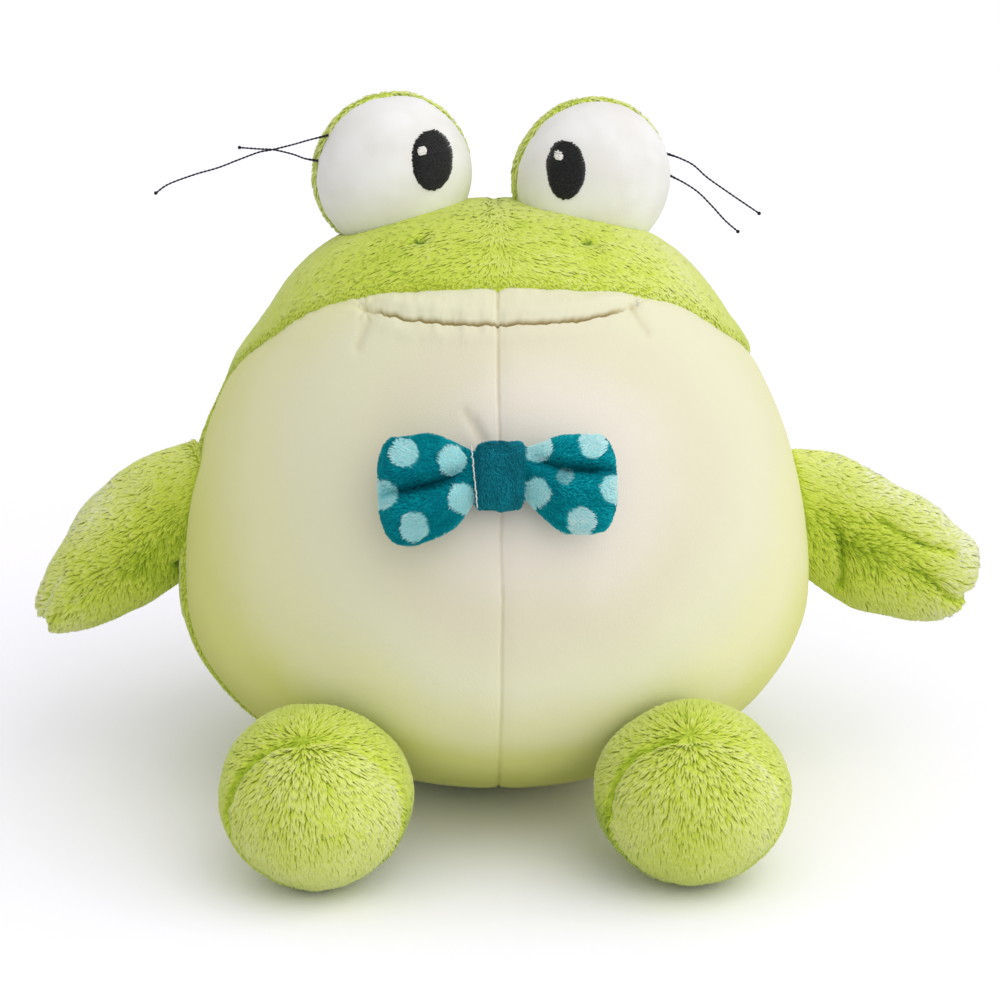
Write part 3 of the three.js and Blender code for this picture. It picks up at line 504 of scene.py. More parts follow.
# Painted shade down in the wings' deep folds, on the cloth and on the nap
FOLD_PAINTED_SHADE_REACH = {"cloth": 1.8, "nap": 1.6}
FOLD_PAINTED_SHADE_SHARES = {"cloth": 0.3, "nap": 0.4}
# Deep fold in each wing: share of its length, height
WING_FOLDS = {
    "left": ((0, 3.6), (0.23, 3.4), (0.86, -0.5), (1.0, -1.4)),
    "right": ((0, 3.7), (0.4, 5.0), (0.5, 4.4), (0.88, 3.2), (1.0, 2.8)),
}
WING_SHADE_SHARE = 0.35
# Painted light on the right wing
WING_PAINTED_LIGHT_SHARE = 0.12  # on the right
WING_PAINTED_LIGHT_FADE = (8, 20)
BAND_WIDTH = 13.4
BAND_CLOTH = 2
BAND_GAP = 0.2
BAND_COUNTS = (46, 110)
BAND_ROLLED = 1.3  # how far its edges turn in
BAND_ROLL_START_SHARE = 0.8
BAND_PUFF = 0.5
BAND_SQUARE_POWER = 0.8
BAND_SLANT = 0.5
BAND_CRUMPLE = (0.4, (2.6, 12, 12), 99)
BAND_SHADE_SHARE = 0.3
BAND_OVERLAP = 0.6  # how far the wings' nap runs in under the band
RAW_EDGE_OUT = 0.4
RAW_EDGE_UP = 0.7
RAW_EDGE_STRAY = 0.12
RAW_EDGE_RADIUS = 0.17
RAW_EDGE_POINTS = 60
# Spots on the front: across and up
DOT_PLACES = (
    (-26, 7.2),
    (-12.9, 4.5),
    (-31.9, -3.9),
    (-24, -13),
    (-10.5, -5.8),
    (10.4, 7.2),
    (25.5, 7.8),
    (9.6, -4.9),
    (31.1, -4.8),
    (21.7, -13.3),
)
DOT_RADIUS = 4
SMALL_DOT = (17.5, -0.7)
SMALL_DOT_RADIUS = 2.4
# The small spot lies down in a fold and is only partly pale: painted shade from the fold
SMALL_DOT_SHARE = 0.4
DOT_EDGE = 0.2
DOT_ROUGH = ((0.35, 1.6, 91), (0.15, 0.6, 93))
BACK_DOT_SHIFT = 7
BACK_DOT_START = 1

# Pile. Where there are two shares, they are for smooth and for ruffled pile
PILE_LENGTH = 3.0
PILE_WIDTH = 0.6
CLUMP = 1.9  # from one matted clump to the next
HEAD_CLUMP = (4.2, 1.8, 1.4)
CLUMP_STRAY_SHARE = 0.8
CLUMP_SEED = 23
PILE_TUFTS = 1.35  # to a square millimetre
PILE_TUFTS_SHOWN = 2.1  # on the head, eyes, arms and feet
MOST_TUFTS = 22000  # in one piece
PILE_FLOOR_GAP = 1.2
PILE_TUCK = 0.5  # how far it runs in under the belly
PILE_STRAYS = (((6, 11), (0.15, 0.5)), ((2.4, 17), (0.1, 0.35)))
PILE_GATHER_SHARES = (0.1, 0.8)
PILE_LIFTS = (0.4, 0.95)
CLUMP_LIFT_SHARES = (0.35, 0.8)  # more at its middle, less at its edge
PILE_LENGTH_SHARES = (0.75, 1.15)  # from the shortest tuft to the longest
PILE_LIFT_SHARES = (0.85, 1.15)
PILE_WIDTH_SHARES = (0.75, 1.25)
PILE_SHADE_SHARE = 0.56
PILE_SHADES = ((0.08, 26, 29), (0.06, 7, 31))
# Painted shade at the edges of the matted clumps and painted light at their middles
CLUMP_PAINTED_SHADE_SHARES = (0.02, 0.34)
CLUMP_MIDDLE_SHARE = 0.45
TUFT_SHADE_SHARE = 0.06
# How far pile is shaded as the cloth under it is
HEAD_SOFTNESS_SHARE = 0.86
EYE_SOFTNESS_SHARE = 0.7
ARM_SOFTNESS_SHARE = 0.7
FOOT_SOFTNESS_SHARE = 0.8
BOW_SOFTNESS_SHARE = 0.4
# Nap of the bow tie
NAP_LENGTH = 1.0
NAP_WIDTH = 0.34
NAP_TUFTS = 4.2
NAP_STRAY = (2.6, 95)
NAP_STRAY_SHARE = 0.7
NAP_LENGTH_SHARES = (0.7, 1.2)
NAP_LIFTS = (0.3, 0.6)
NAP_WIDTH_SHARES = (0.8, 1.2)
NAP_SHADE_SHARE = 0.62
NAP_SHADE = (0.14, 3, 97)
NAP_TUFT_SHADE_SHARE = 0.3
NAP_SLANT_SHARE = 0.3
# Corners of a tuft: three round the root, three round the middle, and the tip
TUFT_CORNERS = 7
TUFT_FACES = np.array(
    [(0, 4, 1), (0, 3, 4), (1, 5, 2), (1, 4, 5), (2, 3, 0), (2, 5, 3), (3, 6, 4), (4, 6, 5), (5, 6, 3)]
)
TUFT_LAST_SIDE = (4, 5, 8)
TUFT_FIRST_EDGE = (0, 3)
TUFT_MIDDLE_SHARE = 0.5
TUFT_RIDGE_SHARE = 0.6  # of half the width
# Darker at the root, lighter at the tip: painted shade between the tufts and painted light at the tips
TUFT_PAINTED_SHADE_AND_LIGHT = np.array([-0.16, -0.16, -0.16, 0, 0, 0, 0.16])
# Where those corners lie in a tuft's cell of the map, and the first edge again on the last side
MAP_ACROSS_SHARES = np.array([0.05, 0.35, 0.65, 0.05, 0.35, 0.65, 0.5])
MAP_UP_SHARES = np.array([0.1, 0.1, 0.1, 0.5, 0.5, 0.5, 0.9])
MAP_EDGE_SHARE = 0.95

# Counts of steps
SEAM_STEPS = 24
STATION_STEPS = 12
CREASE_STEPS = 8
LASH_STEPS = 22
CROWD_STEPS = 20
TUBE_SIDES = 6
LAST_ROW_SHARE = 0.02  # how near a rounded end its last row comes
UPRIGHT_SHARE = math.cos(math.radians(25))  # past this a tube's line counts as upright

# Fixed scatter of the noise
HASH_STEPS = np.array([73856093, 19349663, 83492791])
HASH_SEED = 2654435761
HASH_MIX = 1274126177
HASH_MASK = 0xFFFFFF
HASH_SHIFTS = (13, 16)

# Seeds of what is strewn by chance
BACK_PILE_SEED = 1
MOUTH_SEED = 2
BOW_SEED = 9
EYE_SEEDS = {"left": 100, "right": 110}
ARM_SEEDS = {"left": 200, "right": 210}
FOOT_SEEDS = {"left": 300, "right": 310}

# Colours as seen, from 0 to 255, with the share where each one stands
GREEN_STOPS = (
    (0.0, (126, 158, 16)),
    (0.25, (176, 202, 44)),
    (0.5, (216, 233, 82)),
    (0.75, (233, 243, 134)),
    (1.0, (247, 250, 208)),
)
# The cloth under the pile is a little darker than the pile: painted shade
GREEN_CLOTH_STOPS = ((0.3, (172, 196, 50)), (0.7, (208, 226, 88)))
BELLY_STOPS = (
    (0.0, (244, 235, 224)),
    (0.16, (242, 233, 219)),
    (0.32, (233, 227, 200)),
    (0.46, (236, 234, 202)),
    (0.6, (238, 236, 188)),
    (0.78, (227, 228, 138)),
    (1.0, (205, 209, 92)),
)
# Painted shade in the belly's creases, multiplied into its colour
CREASE_PAINTED_SHADE_STOPS = ((0, (255, 255, 255)), (1, (186, 166, 112)))
WHITE_STOPS = ((0.3, (238, 235, 231)), (0.7, (246, 245, 244)))
BLACK_THREAD_STOPS = ((0.3, (12, 12, 13)), (0.7, (40, 40, 43)))
WHITE_THREAD_STOPS = ((0.3, (222, 220, 214)), (0.7, (246, 245, 242)))
GREEN_THREAD_STOPS = ((0.3, (120, 146, 44)), (0.7, (160, 184, 76)))
TEAL_STOPS = ((0.0, (0, 66, 80)), (0.45, (0, 128, 144)), (0.75, (0, 160, 173)), (1.0, (30, 190, 198)))
SPOT_STOPS = ((0.0, (110, 208, 214)), (0.5, (176, 244, 248)), (1.0, (224, 252, 252)))
BAND_STOPS = ((0.0, (0, 66, 80)), (0.5, (0, 118, 136)), (1.0, (16, 160, 176)))
WHITE = (255, 255, 255)
# Tints of the sheen
GREEN_TINT = (248, 251, 206)
GREEN_CLOTH_TINT = (235, 240, 200)
BELLY_TINT = (255, 250, 235)
BOW_TINT = (60, 190, 200)
BAND_TINT = (0, 120, 135)
SHEEN_ROUGHNESS = 0.5

# Grain of the cloth: the size of its blobs and how detailed it is
PILE_GRAIN = (0.8, 2)
PILE_GRAIN_SHARE = 0.24
GREEN_CLOTH_BLOTCH = (1.1, 4)
BELLY_GRAIN = (0.5, 3)
WHITE_CLOUD = (14, 2)
WHITE_GRAIN = (0.45, 3)
THREAD_GRAIN = (0.6, 3)
BOW_GRAIN = (0.5, 3)
BOW_GRAIN_SHARE = 0.5

# Bumps of the cloth: how deep and how strong
GREEN_CLOTH_BUMP = (0.8, 0.8)
BELLY_BUMP = (0.25, 0.35)
WHITE_BUMP = (0.2, 0.3)
THREAD_BUMP = (0.15, 0.5)

# Green spray on the belly
SPRAY_MIDDLE = (14, -80, 116)
SPRAY_REACH = (92, 120, 78)
SPRAY_LOW_FADE = (50, 14)  # from the height where it starts, down
SPRAY_LOW_SHARE = 0.3
SPRAY_CLOUD = (28, 3)
SPRAY_CLOUD_SHARE = 0.24
SPRAY_SHARE = 0.62

# Stage
FLOOR_HALF = 6000
FLOOR_SHARE = 0.8  # how much light the floor gives back
FLOOR_SEEN_SHARES = (1.13, 1.11, 1.2)  # and how much the camera sees: the open floor is white
HORIZON_STRENGTH = 0.38  # the studio is dimmer low down, so the shadows on the floor are deep
ZENITH_STRENGTH = 0.84
KEY_FROM = (0.85, -0.6, 0.7)
KEY_STRENGTH = 1.4
KEY_WIDTH = 90  # degrees across, which makes the shadows soft


# Numbers


def smooth_step(value, low, high):
    part = np.clip((value - low) / (high - low), 0, 1)
    return part * part * (3 - 2 * part)


def mixed(low, high, share):
    return low + (high - low) * share


def bump(value, width):
    return np.exp(-np.square(value / width))


def ridge(gap, size):
    """A rounded rise of a height and half width, by the distance from its middle."""
    height, width = size
    return height * bump(gap, width)


def squared(value, power):
    """A cosine or sine made squarer, with its sign kept."""
    return np.sign(value) * np.abs(value) ** power


def unit(vectors):
    lengths = np.linalg.norm(vectors, axis=-1, keepdims=True)
    return vectors / np.maximum(lengths, np.finfo(float).tiny)


def dot(one, other):
    return (one * other).sum(-1)


def lattice(cells, seed):
    """A fixed value from -1 to 1 for each whole-numbered cell."""
    first, second = HASH_SHIFTS
    found = cells @ HASH_STEPS + seed * HASH_SEED
    found = (found ^ (found >> first)) * HASH_MIX
    found = found ^ (found >> second)
    return 2 * (found & HASH_MASK) / HASH_MASK - 1


def noise(points, size, seed):
    """Smooth noise from -1 to 1 whose blobs have this size, or these three sizes."""
    scaled = points / np.asarray(size, float)
    cells = np.floor(scaled).astype(np.int64)
    part = smooth_step(scaled - cells, 0, 1)
    total = np.zeros(points.shape[:-1])
    for corner in itertools.product((0, 1), repeat=3):
        weight = np.prod(np.where(corner, part, 1 - part), axis=-1)
        total += weight * lattice(cells + np.array(corner), seed)
    return total


def noise_vectors(points, size, seed):
    return np.stack([noise(points, size, seed + axis) for axis in range(3)], -1)


def layer(points, values, seed=0):
    """Noise of a height, a blob size and a seed, which is counted on from another seed."""
    height, size, own = values
    return height * noise(points, size, seed + own)


def layered(points, layers, seed=0):
    return sum(layer(points, values, seed) for values in layers)


def clump_middles(points, size, seed):
    """The nearest of places strewn one to a cell of this size, and how far off it is."""
    scaled = points / np.asarray(size, float)
    cells = np.floor(scaled).astype(np.int64)
    nearest = np.zeros_like(scaled)
    gap = np.full(len(points), np.inf)
    for corner in itertools.product((-1, 0, 1), repeat=3):
        cell = cells + np.array(corner)
        off = np.stack([lattice(cell, seed + axis) for axis in range(3)], -1)
        place = cell + (1 + CLUMP_STRAY_SHARE * off) / 2
        away = np.linalg.norm(scaled - place, axis=1)
        closer = away < gap
        nearest[closer] = place[closer]
        gap[closer] = away[closer]
    return nearest * size, gap


def rounded_route(points, steps):
    """A smooth line through the points, with this many steps between each two."""
    points = np.asarray(points, float)
    padded = np.vstack([2 * points[0] - points[1], points, 2 * points[-1] - points[-2]])
    share = np.linspace(0, 1, steps, endpoint=False)[:, None]
    runs = []
    for a, b, c, d in zip(padded, padded[1:], padded[2:], padded[3:]):
        slope_b, slope_c = (c - a) / 2, (d - b) / 2
        bend = 3 * (c - b) - 2 * slope_b - slope_c
        twist = 2 * (b - c) + slope_b + slope_c
        runs.append(b + slope_b * share + bend * share**2 + twist * share**3)
    return np.vstack([*runs, points[-1:]])


def route_gap(places, route):
    """How far each place is from a line through points, in the same two or three axes."""
    route = np.asarray(route, float)
    nearest = np.full(places.shape[:-1], np.inf)
    for start, end in zip(route, route[1:]):
        run = end - start
        share = np.clip((places - start) @ run / (run @ run), 0, 1)
        gap = np.linalg.norm(places - start - share[..., None] * run, axis=-1)
        nearest = np.minimum(nearest, gap)
    return nearest


def spaced(count, low, high, middle, width, extra):
    """Steps from low to high that crowd together at a middle, by how much extra."""
    fine = np.linspace(low, high, CROWD_STEPS * count)
    total = np.cumsum(1 + extra * bump(fine - middle, width))
    total = (total - total[0]) / (total[-1] - total[0])
    return np.interp(np.linspace(0, 1, count), total, fine)


def closing_shares(start, close, rows, end_rows):
    """Shares of a length from start to nearly 1, which crowd where its end rounds off."""
    even = np.linspace(start, close, rows, endpoint=False)
    return np.concatenate([even, 1 - (1 - close) * np.linspace(1, LAST_ROW_SHARE, end_rows) ** 2])


def full_turn(count):
    return np.linspace(0, 2 * math.pi, count, endpoint=False)


def turned(points, matrix):
    """Points of a part's own frame, put in the frog's frame."""
    matrix = np.array(matrix)
    return points @ matrix[:3, :3].T + matrix[:3, 3]


def turned_back(points, matrix):
    return turned(points, Matrix(matrix).inverted())


# Meshes


def grid_faces(rows, columns, closed):
    row = np.arange(rows - 1)[:, None] * columns
    column = np.arange(columns if closed else columns - 1)[None, :]
    after = (column + 1) % columns
    corners = (row + column, row + after, row + columns + after, row + columns + column)
    return np.stack(corners, -1).reshape(-1, 4)


def face_cross(points, faces):
    """Twice the area of each face, as a vector along its normal."""
    corners = points[faces]
    return np.cross(corners[:, 2] - corners[:, 0], corners[:, -1] - corners[:, 1])


def facing_out(points, faces, middle):
    outwards = dot(face_cross(points, faces), points[faces].mean(1) - middle).sum() > 0
    return faces if outwards else faces[:, ::-1]


def closed_pole(points, faces, ring, at_start):
    """Closes an open ring of points, the first or the last row of a grid, with quads."""
    first, second, third = ring[0::2], ring[1::2], np.roll(ring, -2)[0::2]
    pole = np.full(len(first), len(points))
    cap = [pole, third, second, first] if at_start else [pole, first, second, third]
    middle = points[ring].mean(0)
    return np.vstack([points, middle]), np.vstack([faces, np.stack(cap, -1)])


def closed_grid(points, rows, columns):
    """Points and faces of a grid whose first and last rows close to poles."""
    faces = grid_faces(rows, columns, True)
    ring = np.arange(columns)
    points, faces = closed_pole(points, faces, ring, True)
    return closed_pole(points, faces, ring + (rows - 1) * columns, False)


def ball_ways(angles, counts):
    """Ways out from a ball's middle, between two angles from its foremost point."""
    rows, columns = counts
    back, around = np.meshgrid(np.linspace(*angles, rows), full_turn(columns), indexing="ij")
    return np.stack([np.sin(back) * np.cos(around), -np.cos(back), np.sin(back) * np.sin(around)], -1)


def point_normals(points, faces):
    across = face_cross(points, faces)
    total = np.zeros_like(points)
    for corner in range(4):
        for axis in range(3):
            total[:, axis] += np.bincount(faces[:, corner], across[:, axis], len(points))
    return unit(total)


def used_only(points, faces):
    """The faces with the points that they need, and which points those are."""
    used = np.unique(faces)
    place = np.zeros(len(points), np.int64)
    place[used] = np.arange(len(used))
    return points[used], place[faces], used


def mesh_piece(name, points, faces, material, values=None):
    """A smooth mesh object from points in millimetres, with named values at its points."""
    mesh = bpy.data.meshes.new(name)
    mesh.vertices.add(len(points))
    mesh.vertices.foreach_set("co", np.ravel(points * MILLIMETRE).astype(np.float32))
    mesh.loops.add(faces.size)
    mesh.loops.foreach_set("vertex_index", np.ravel(faces).astype(np.int32))
    mesh.polygons.add(len(faces))
    starts = np.arange(0, faces.size, faces.shape[1], dtype=np.int32)
    mesh.polygons.foreach_set("loop_start", starts)
    mesh.update(calc_edges=True)
    mesh.polygons.foreach_set("use_smooth", np.ones(len(faces), bool))
    for key, value in (values or {}).items():
        attribute = mesh.attributes.new(key, "FLOAT", "POINT")
        attribute.data.foreach_set("value", np.ravel(value).astype(np.float32))
    mesh.validate()
    piece = bpy.data.objects.new(name, mesh)
    bpy.context.scene.collection.objects.link(piece)
    mesh.materials.append(material)
    return piece


def tube(route, radius):
    """Points and triangles of a closed round tube along a line."""
    route = np.asarray(route, float)
    radius = np.broadcast_to(radius, len(route))
    along = unit(np.gradient(route, axis=0))
    helper = Z_AXIS if np.abs(along[:, 2]).max() < UPRIGHT_SHARE else Y_AXIS
    first = unit(np.cross(along, helper))
    second = np.cross(along, first)
    angle = full_turn(TUBE_SIDES)[None, :, None]
    ring = np.cos(angle) * first[:, None] + np.sin(angle) * second[:, None]
    points = (route[:, None] + ring * radius[:, None, None]).reshape(-1, 3)
    quads = grid_faces(len(route), TUBE_SIDES, True)
    last = (len(route) - 1) * TUBE_SIDES
    step = np.arange(TUBE_SIDES)
    after = (step + 1) % TUBE_SIDES
    start, end = np.full_like(step, len(points)), np.full_like(step, len(points) + 1)
    caps = [np.stack([start, after, step], -1), np.stack([end, last + step, last + after], -1)]
    points = np.vstack([points, route[0], route[-1]])
    return points, np.vstack([quads[:, [0, 1, 2]], quads[:, [0, 2, 3]], *caps])


def tubes_piece(name, tubes, material):
    """One piece from several tubes, each a line and its radius."""
    made = [tube(*each) for each in tubes]
    starts = np.cumsum([0, *[len(points) for points, _ in made[:-1]]])
    faces = np.vstack([triangles + start for (_, triangles), start in zip(made, starts)])
    return mesh_piece(name, np.vstack([points for points, _ in made]), faces, material)


def dress(piece, body=None, nodes=()):
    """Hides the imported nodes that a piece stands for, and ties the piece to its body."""
    if nodes:
        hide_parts(*nodes)
    if body:
        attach(piece, body)


# Materials


def linear(color):
    """A colour as seen, in 0 to 255, as the shader needs it."""
    shares = np.array(color) / 255
    made = np.where(shares <= 0.04045, shares / 12.92, ((shares + 0.055) / 1.055) ** 2.4)
    return (*made, 1)


class Look:
    """The nodes of a material or of the world."""

    def __init__(self, owner):
        owner.use_nodes = True
        self.tree = owner.node_tree

    def feed(self, socket, value):
        """Links a socket to another node's output, or sets its value."""
        if isinstance(value, bpy.types.NodeSocket):
            self.tree.links.new(value, socket)
        else:
            socket.default_value = value

    def add(self, kind, inputs, output=0, **settings):
        """The output of a new node, with what goes into it and its settings."""
        node = self.tree.nodes.new("ShaderNode" + kind)
        for key, value in settings.items():
            setattr(node, key, value)
        for key, value in inputs.items():
            self.feed(node.inputs[key], value)
        return node.outputs[output]

    def math(self, operation, *values):
        return self.add("Math", dict(enumerate(values)), operation=operation)

    def vector(self, operation, *values, output=0):
        return self.add("VectorMath", dict(enumerate(values)), output, operation=operation)

    def place(self):
        return self.add("TexCoord", {}, "Object")

    def noise(self, size, detail):
        """Noise over the piece, with blobs of a size in millimetres."""
        inputs = {"Vector": self.place(), "Scale": 1 / (size * MILLIMETRE), "Detail": detail}
        return self.add("TexNoise", inputs, "Fac")

    def centred(self, value, share):
        """A value from 0 to 1, made into one from minus half the share to plus half the share."""
        return self.math("MULTIPLY_ADD", value, share, -share / 2)

    def ramp(self, value, stops):
        """Colours along a value, eased from each stop to the next."""
        color = self.add("ValToRGB", {"Fac": value}, "Color")
        made = color.node.color_ramp
        made.interpolation = "EASE"
        while len(made.elements) < len(stops):
            made.elements.new(1)
        for element, (place, shown) in zip(made.elements, stops):
            element.position = place
            element.color = linear(shown)
        return color

    def mix(self, share, one, other, **settings):
        inputs = {"Factor": share, "A": one, "B": other}
        return self.add("Mix", inputs, "Result", data_type="RGBA", **settings)

    def point_value(self, name):
        return self.add("Attribute", {}, "Fac", attribute_name=name)


class Cloth(Look):
    """A material whose colour and bump are still to be given."""

    def __init__(self, name, roughness, sheen, tint, specular=0.2):
        self.material = bpy.data.materials.new(name)
        super().__init__(self.material)
        self.shader = self.tree.nodes["Principled BSDF"]
        self.shader.inputs["Roughness"].default_value = roughness
        self.shader.inputs["Specular IOR Level"].default_value = specular
        self.shader.inputs["Sheen Weight"].default_value = sheen
        self.shader.inputs["Sheen Roughness"].default_value = SHEEN_ROUGHNESS
        self.shader.inputs["Sheen Tint"].default_value = linear(tint)

    def finish(self, color, height=None, depth=0, strength=0):
        """Gives the shader its colour, and its bump from a height that is this deep."""
        self.feed(self.shader.inputs["Base Color"], color)
        if height is not None:
            inputs = {"Distance": depth * MILLIMETRE, "Strength": strength, "Height": height}
            self.feed(self.shader.inputs["Normal"], self.add("Bump", inputs, "Normal"))
        return self.material


def pile_material(name, stops, tint):
    """Pile whose shade is worked out for each tuft, with a grain of its own."""
    cloth = Cloth(name, roughness=0.8, sheen=0.6, tint=tint)
    grain = cloth.centred(cloth.noise(*PILE_GRAIN), PILE_GRAIN_SHARE)
    shade = cloth.math("ADD", cloth.point_value("shade"), grain)
    return cloth.finish(cloth.ramp(shade, stops))


def cloth_under_pile():
    # Darker than the pile, as painted shade under it
    cloth = Cloth("green_cloth", roughness=0.95, sheen=0.1, tint=GREEN_CLOTH_TINT)
    blotch = cloth.noise(*GREEN_CLOTH_BLOTCH)
    return cloth.finish(cloth.ramp(blotch, GREEN_CLOTH_STOPS), blotch, *GREEN_CLOTH_BUMP)


def belly_material():
    """Cream velour, sprayed green towards its edges and underneath, with painted shade in its creases."""
    cloth = Cloth("belly_velour", roughness=0.85, sheen=0.25, tint=BELLY_TINT)
    place = cloth.place()
    away = cloth.vector("SUBTRACT", place, Vector(SPRAY_MIDDLE) * MILLIMETRE)
    scaled = cloth.vector("DIVIDE", away, Vector(SPRAY_REACH) * MILLIMETRE)
    low = {
        "Value": cloth.add("SeparateXYZ", {"Vector": place}, "Z"),
        "From Min": SPRAY_LOW_FADE[0] * MILLIMETRE,
        "From Max": SPRAY_LOW_FADE[1] * MILLIMETRE,
        "To Min": 0,
        "To Max": SPRAY_LOW_SHARE,
    }
    cloud = cloth.centred(cloth.noise(*SPRAY_CLOUD), SPRAY_CLOUD_SHARE)
    spray = cloth.math("ADD", cloth.vector("LENGTH", scaled, output="Value"), cloud)
    spray = cloth.math("ADD", spray, cloth.add("MapRange", low, "Result", interpolation_type="SMOOTHSTEP"))
    sprayed = cloth.ramp(cloth.math("MULTIPLY", spray, SPRAY_SHARE), BELLY_STOPS)
    # The fold value is painted shade in the creases
    fold = cloth.ramp(cloth.point_value("fold"), CREASE_PAINTED_SHADE_STOPS)
    color = cloth.mix(1, sprayed, fold, blend_type="MULTIPLY")
    return cloth.finish(color, cloth.noise(*BELLY_GRAIN), *BELLY_BUMP)


def white_material():
    cloth = Cloth("white_velour", roughness=0.85, sheen=0.2, tint=WHITE)
    color = cloth.ramp(cloth.noise(*WHITE_CLOUD), WHITE_STOPS)
    return cloth.finish(color, cloth.noise(*WHITE_GRAIN), *WHITE_BUMP)


def thread_material(name, stops, roughness):
    cloth = Cloth(name, roughness, sheen=0.15, tint=WHITE)
    strand = cloth.noise(*THREAD_GRAIN)
    return cloth.finish(cloth.ramp(strand, stops), strand, *THREAD_BUMP)


def bow_material():
    """Teal with pale spots, where each point says how far it lies in a spot."""
    cloth = Cloth("bow_nap", roughness=0.8, sheen=0.15, tint=BOW_TINT, specular=0.05)
    grain = cloth.centred(cloth.noise(*BOW_GRAIN), BOW_GRAIN_SHARE)
    shade = cloth.math("ADD", cloth.point_value("shade"), grain)
    teal = cloth.ramp(shade, TEAL_STOPS)
    pale = cloth.ramp(shade, SPOT_STOPS)
    return cloth.finish(cloth.mix(cloth.point_value("spot"), teal, pale))


green_pile = pile_material("green_pile", GREEN_STOPS, GREEN_TINT)
green_cloth = cloth_under_pile()
belly_velour = belly_material()
white_velour = white_material()
black_thread = thread_material("black_thread", BLACK_THREAD_STOPS, roughness=0.6)
white_thread = thread_material("white_thread", WHITE_THREAD_STOPS, roughness=0.6)
green_thread = thread_material("green_thread", GREEN_THREAD_STOPS, roughness=0.7)
bow_nap = bow_material()
band_nap = pile_material("band_nap", BAND_STOPS, BAND_TINT)


# Pile


def lying(direction, normals):
    """The direction laid along the cloth."""
    return unit(direction - dot(direction, normals)[:, None] * normals)


def scatter(points, faces, tufts, rng):
    """Roots spread over the faces, with their normals. tufts is how many to a square millimetre."""
    normals = point_normals(points, faces)
    wanted = np.linalg.norm(face_cross(points, faces), axis=1) / 2 * tufts
    counts = np.floor(wanted + rng.random(len(faces))).astype(int)
    chosen = faces[np.repeat(np.arange(len(faces)), counts)]
    u, v = rng.random((2, len(chosen)))
    weights = np.stack([(1 - u) * (1 - v), u * (1 - v), u * v, (1 - u) * v], 1)[..., None]
    roots = (points[chosen] * weights).sum(1)
    return roots, unit((normals[chosen] * weights).sum(1))


def tuft_mesh(roots, normals, flow, length, lift, width, shade):
    """Tapered tufts that rise from their roots and lie along the flow."""
    side = np.cross(normals, flow)
    length, lift, half = length[:, None], lift[:, None], width[:, None] / 2
    middle = roots + flow * length * TUFT_MIDDLE_SHARE + normals * lift
    tip = roots + flow * length + normals * lift
    rim = normals * half * TUFT_RIDGE_SHARE
    corners = [
        roots - side * half - rim,
        roots + rim,
        roots + side * half - rim,
        middle - side * half - rim / 2,
        middle + rim,
        middle + side * half - rim / 2,
        tip,
    ]
    points = np.stack(corners, 1)
    points[..., 2] = np.maximum(points[..., 2], half)
    faces = TUFT_FACES[None] + np.arange(len(roots))[:, None, None] * TUFT_CORNERS
    # Each tuft's shade gets painted shade at its root and painted light at its tip
    return points.reshape(-1, 3), faces.reshape(-1, 3), (shade[:, None] + TUFT_PAINTED_SHADE_AND_LIGHT).ravel()


def tuft_maps(count):
    """Where each tuft's faces lie on a square map, each tuft in a cell of its own."""
    across = math.ceil(math.sqrt(count))
    last_side = np.isin(np.arange(len(TUFT_FACES)), TUFT_LAST_SIDE)[:, None]
    edge = last_side & np.isin(TUFT_FACES, TUFT_FIRST_EDGE)
    u = np.where(edge, MAP_EDGE_SHARE, MAP_ACROSS_SHARES[TUFT_FACES])
    corners = np.stack([u, MAP_UP_SHARES[TUFT_FACES]], -1)
    cells = np.stack([np.arange(count) % across, np.arange(count) // across], -1)
    return (corners[None] + cells[:, None, None]) / across


def pile_piece(name, tufts, material, softness, spot=None):
    """One piece of pile, shaded partly as the cloth under it is, by its softness."""
    points, faces, shades = tuft_mesh(**tufts)
    values = {"shade": shades}
    if spot is not None:
        values["spot"] = np.repeat(spot, TUFT_CORNERS)
    piece = mesh_piece(name, points, faces, material, values)
    chart = piece.data.uv_layers.new(name="OFBake")
    chart.uv.foreach_set("vector", tuft_maps(len(tufts["roots"])).ravel().astype(np.float32))
    own = np.zeros(points.size, np.float32)
    piece.data.vertices.foreach_get("normal", own)
    cloth = np.repeat(tufts["normals"], TUFT_CORNERS, axis=0)
    piece.data.normals_split_custom_set_from_vertices(unit(mixed(own.reshape(-1, 3), cloth, softness)))
    return piece


def chosen_tufts(tufts, keep):
    return {key: value[keep] for key, value in tufts.items()}


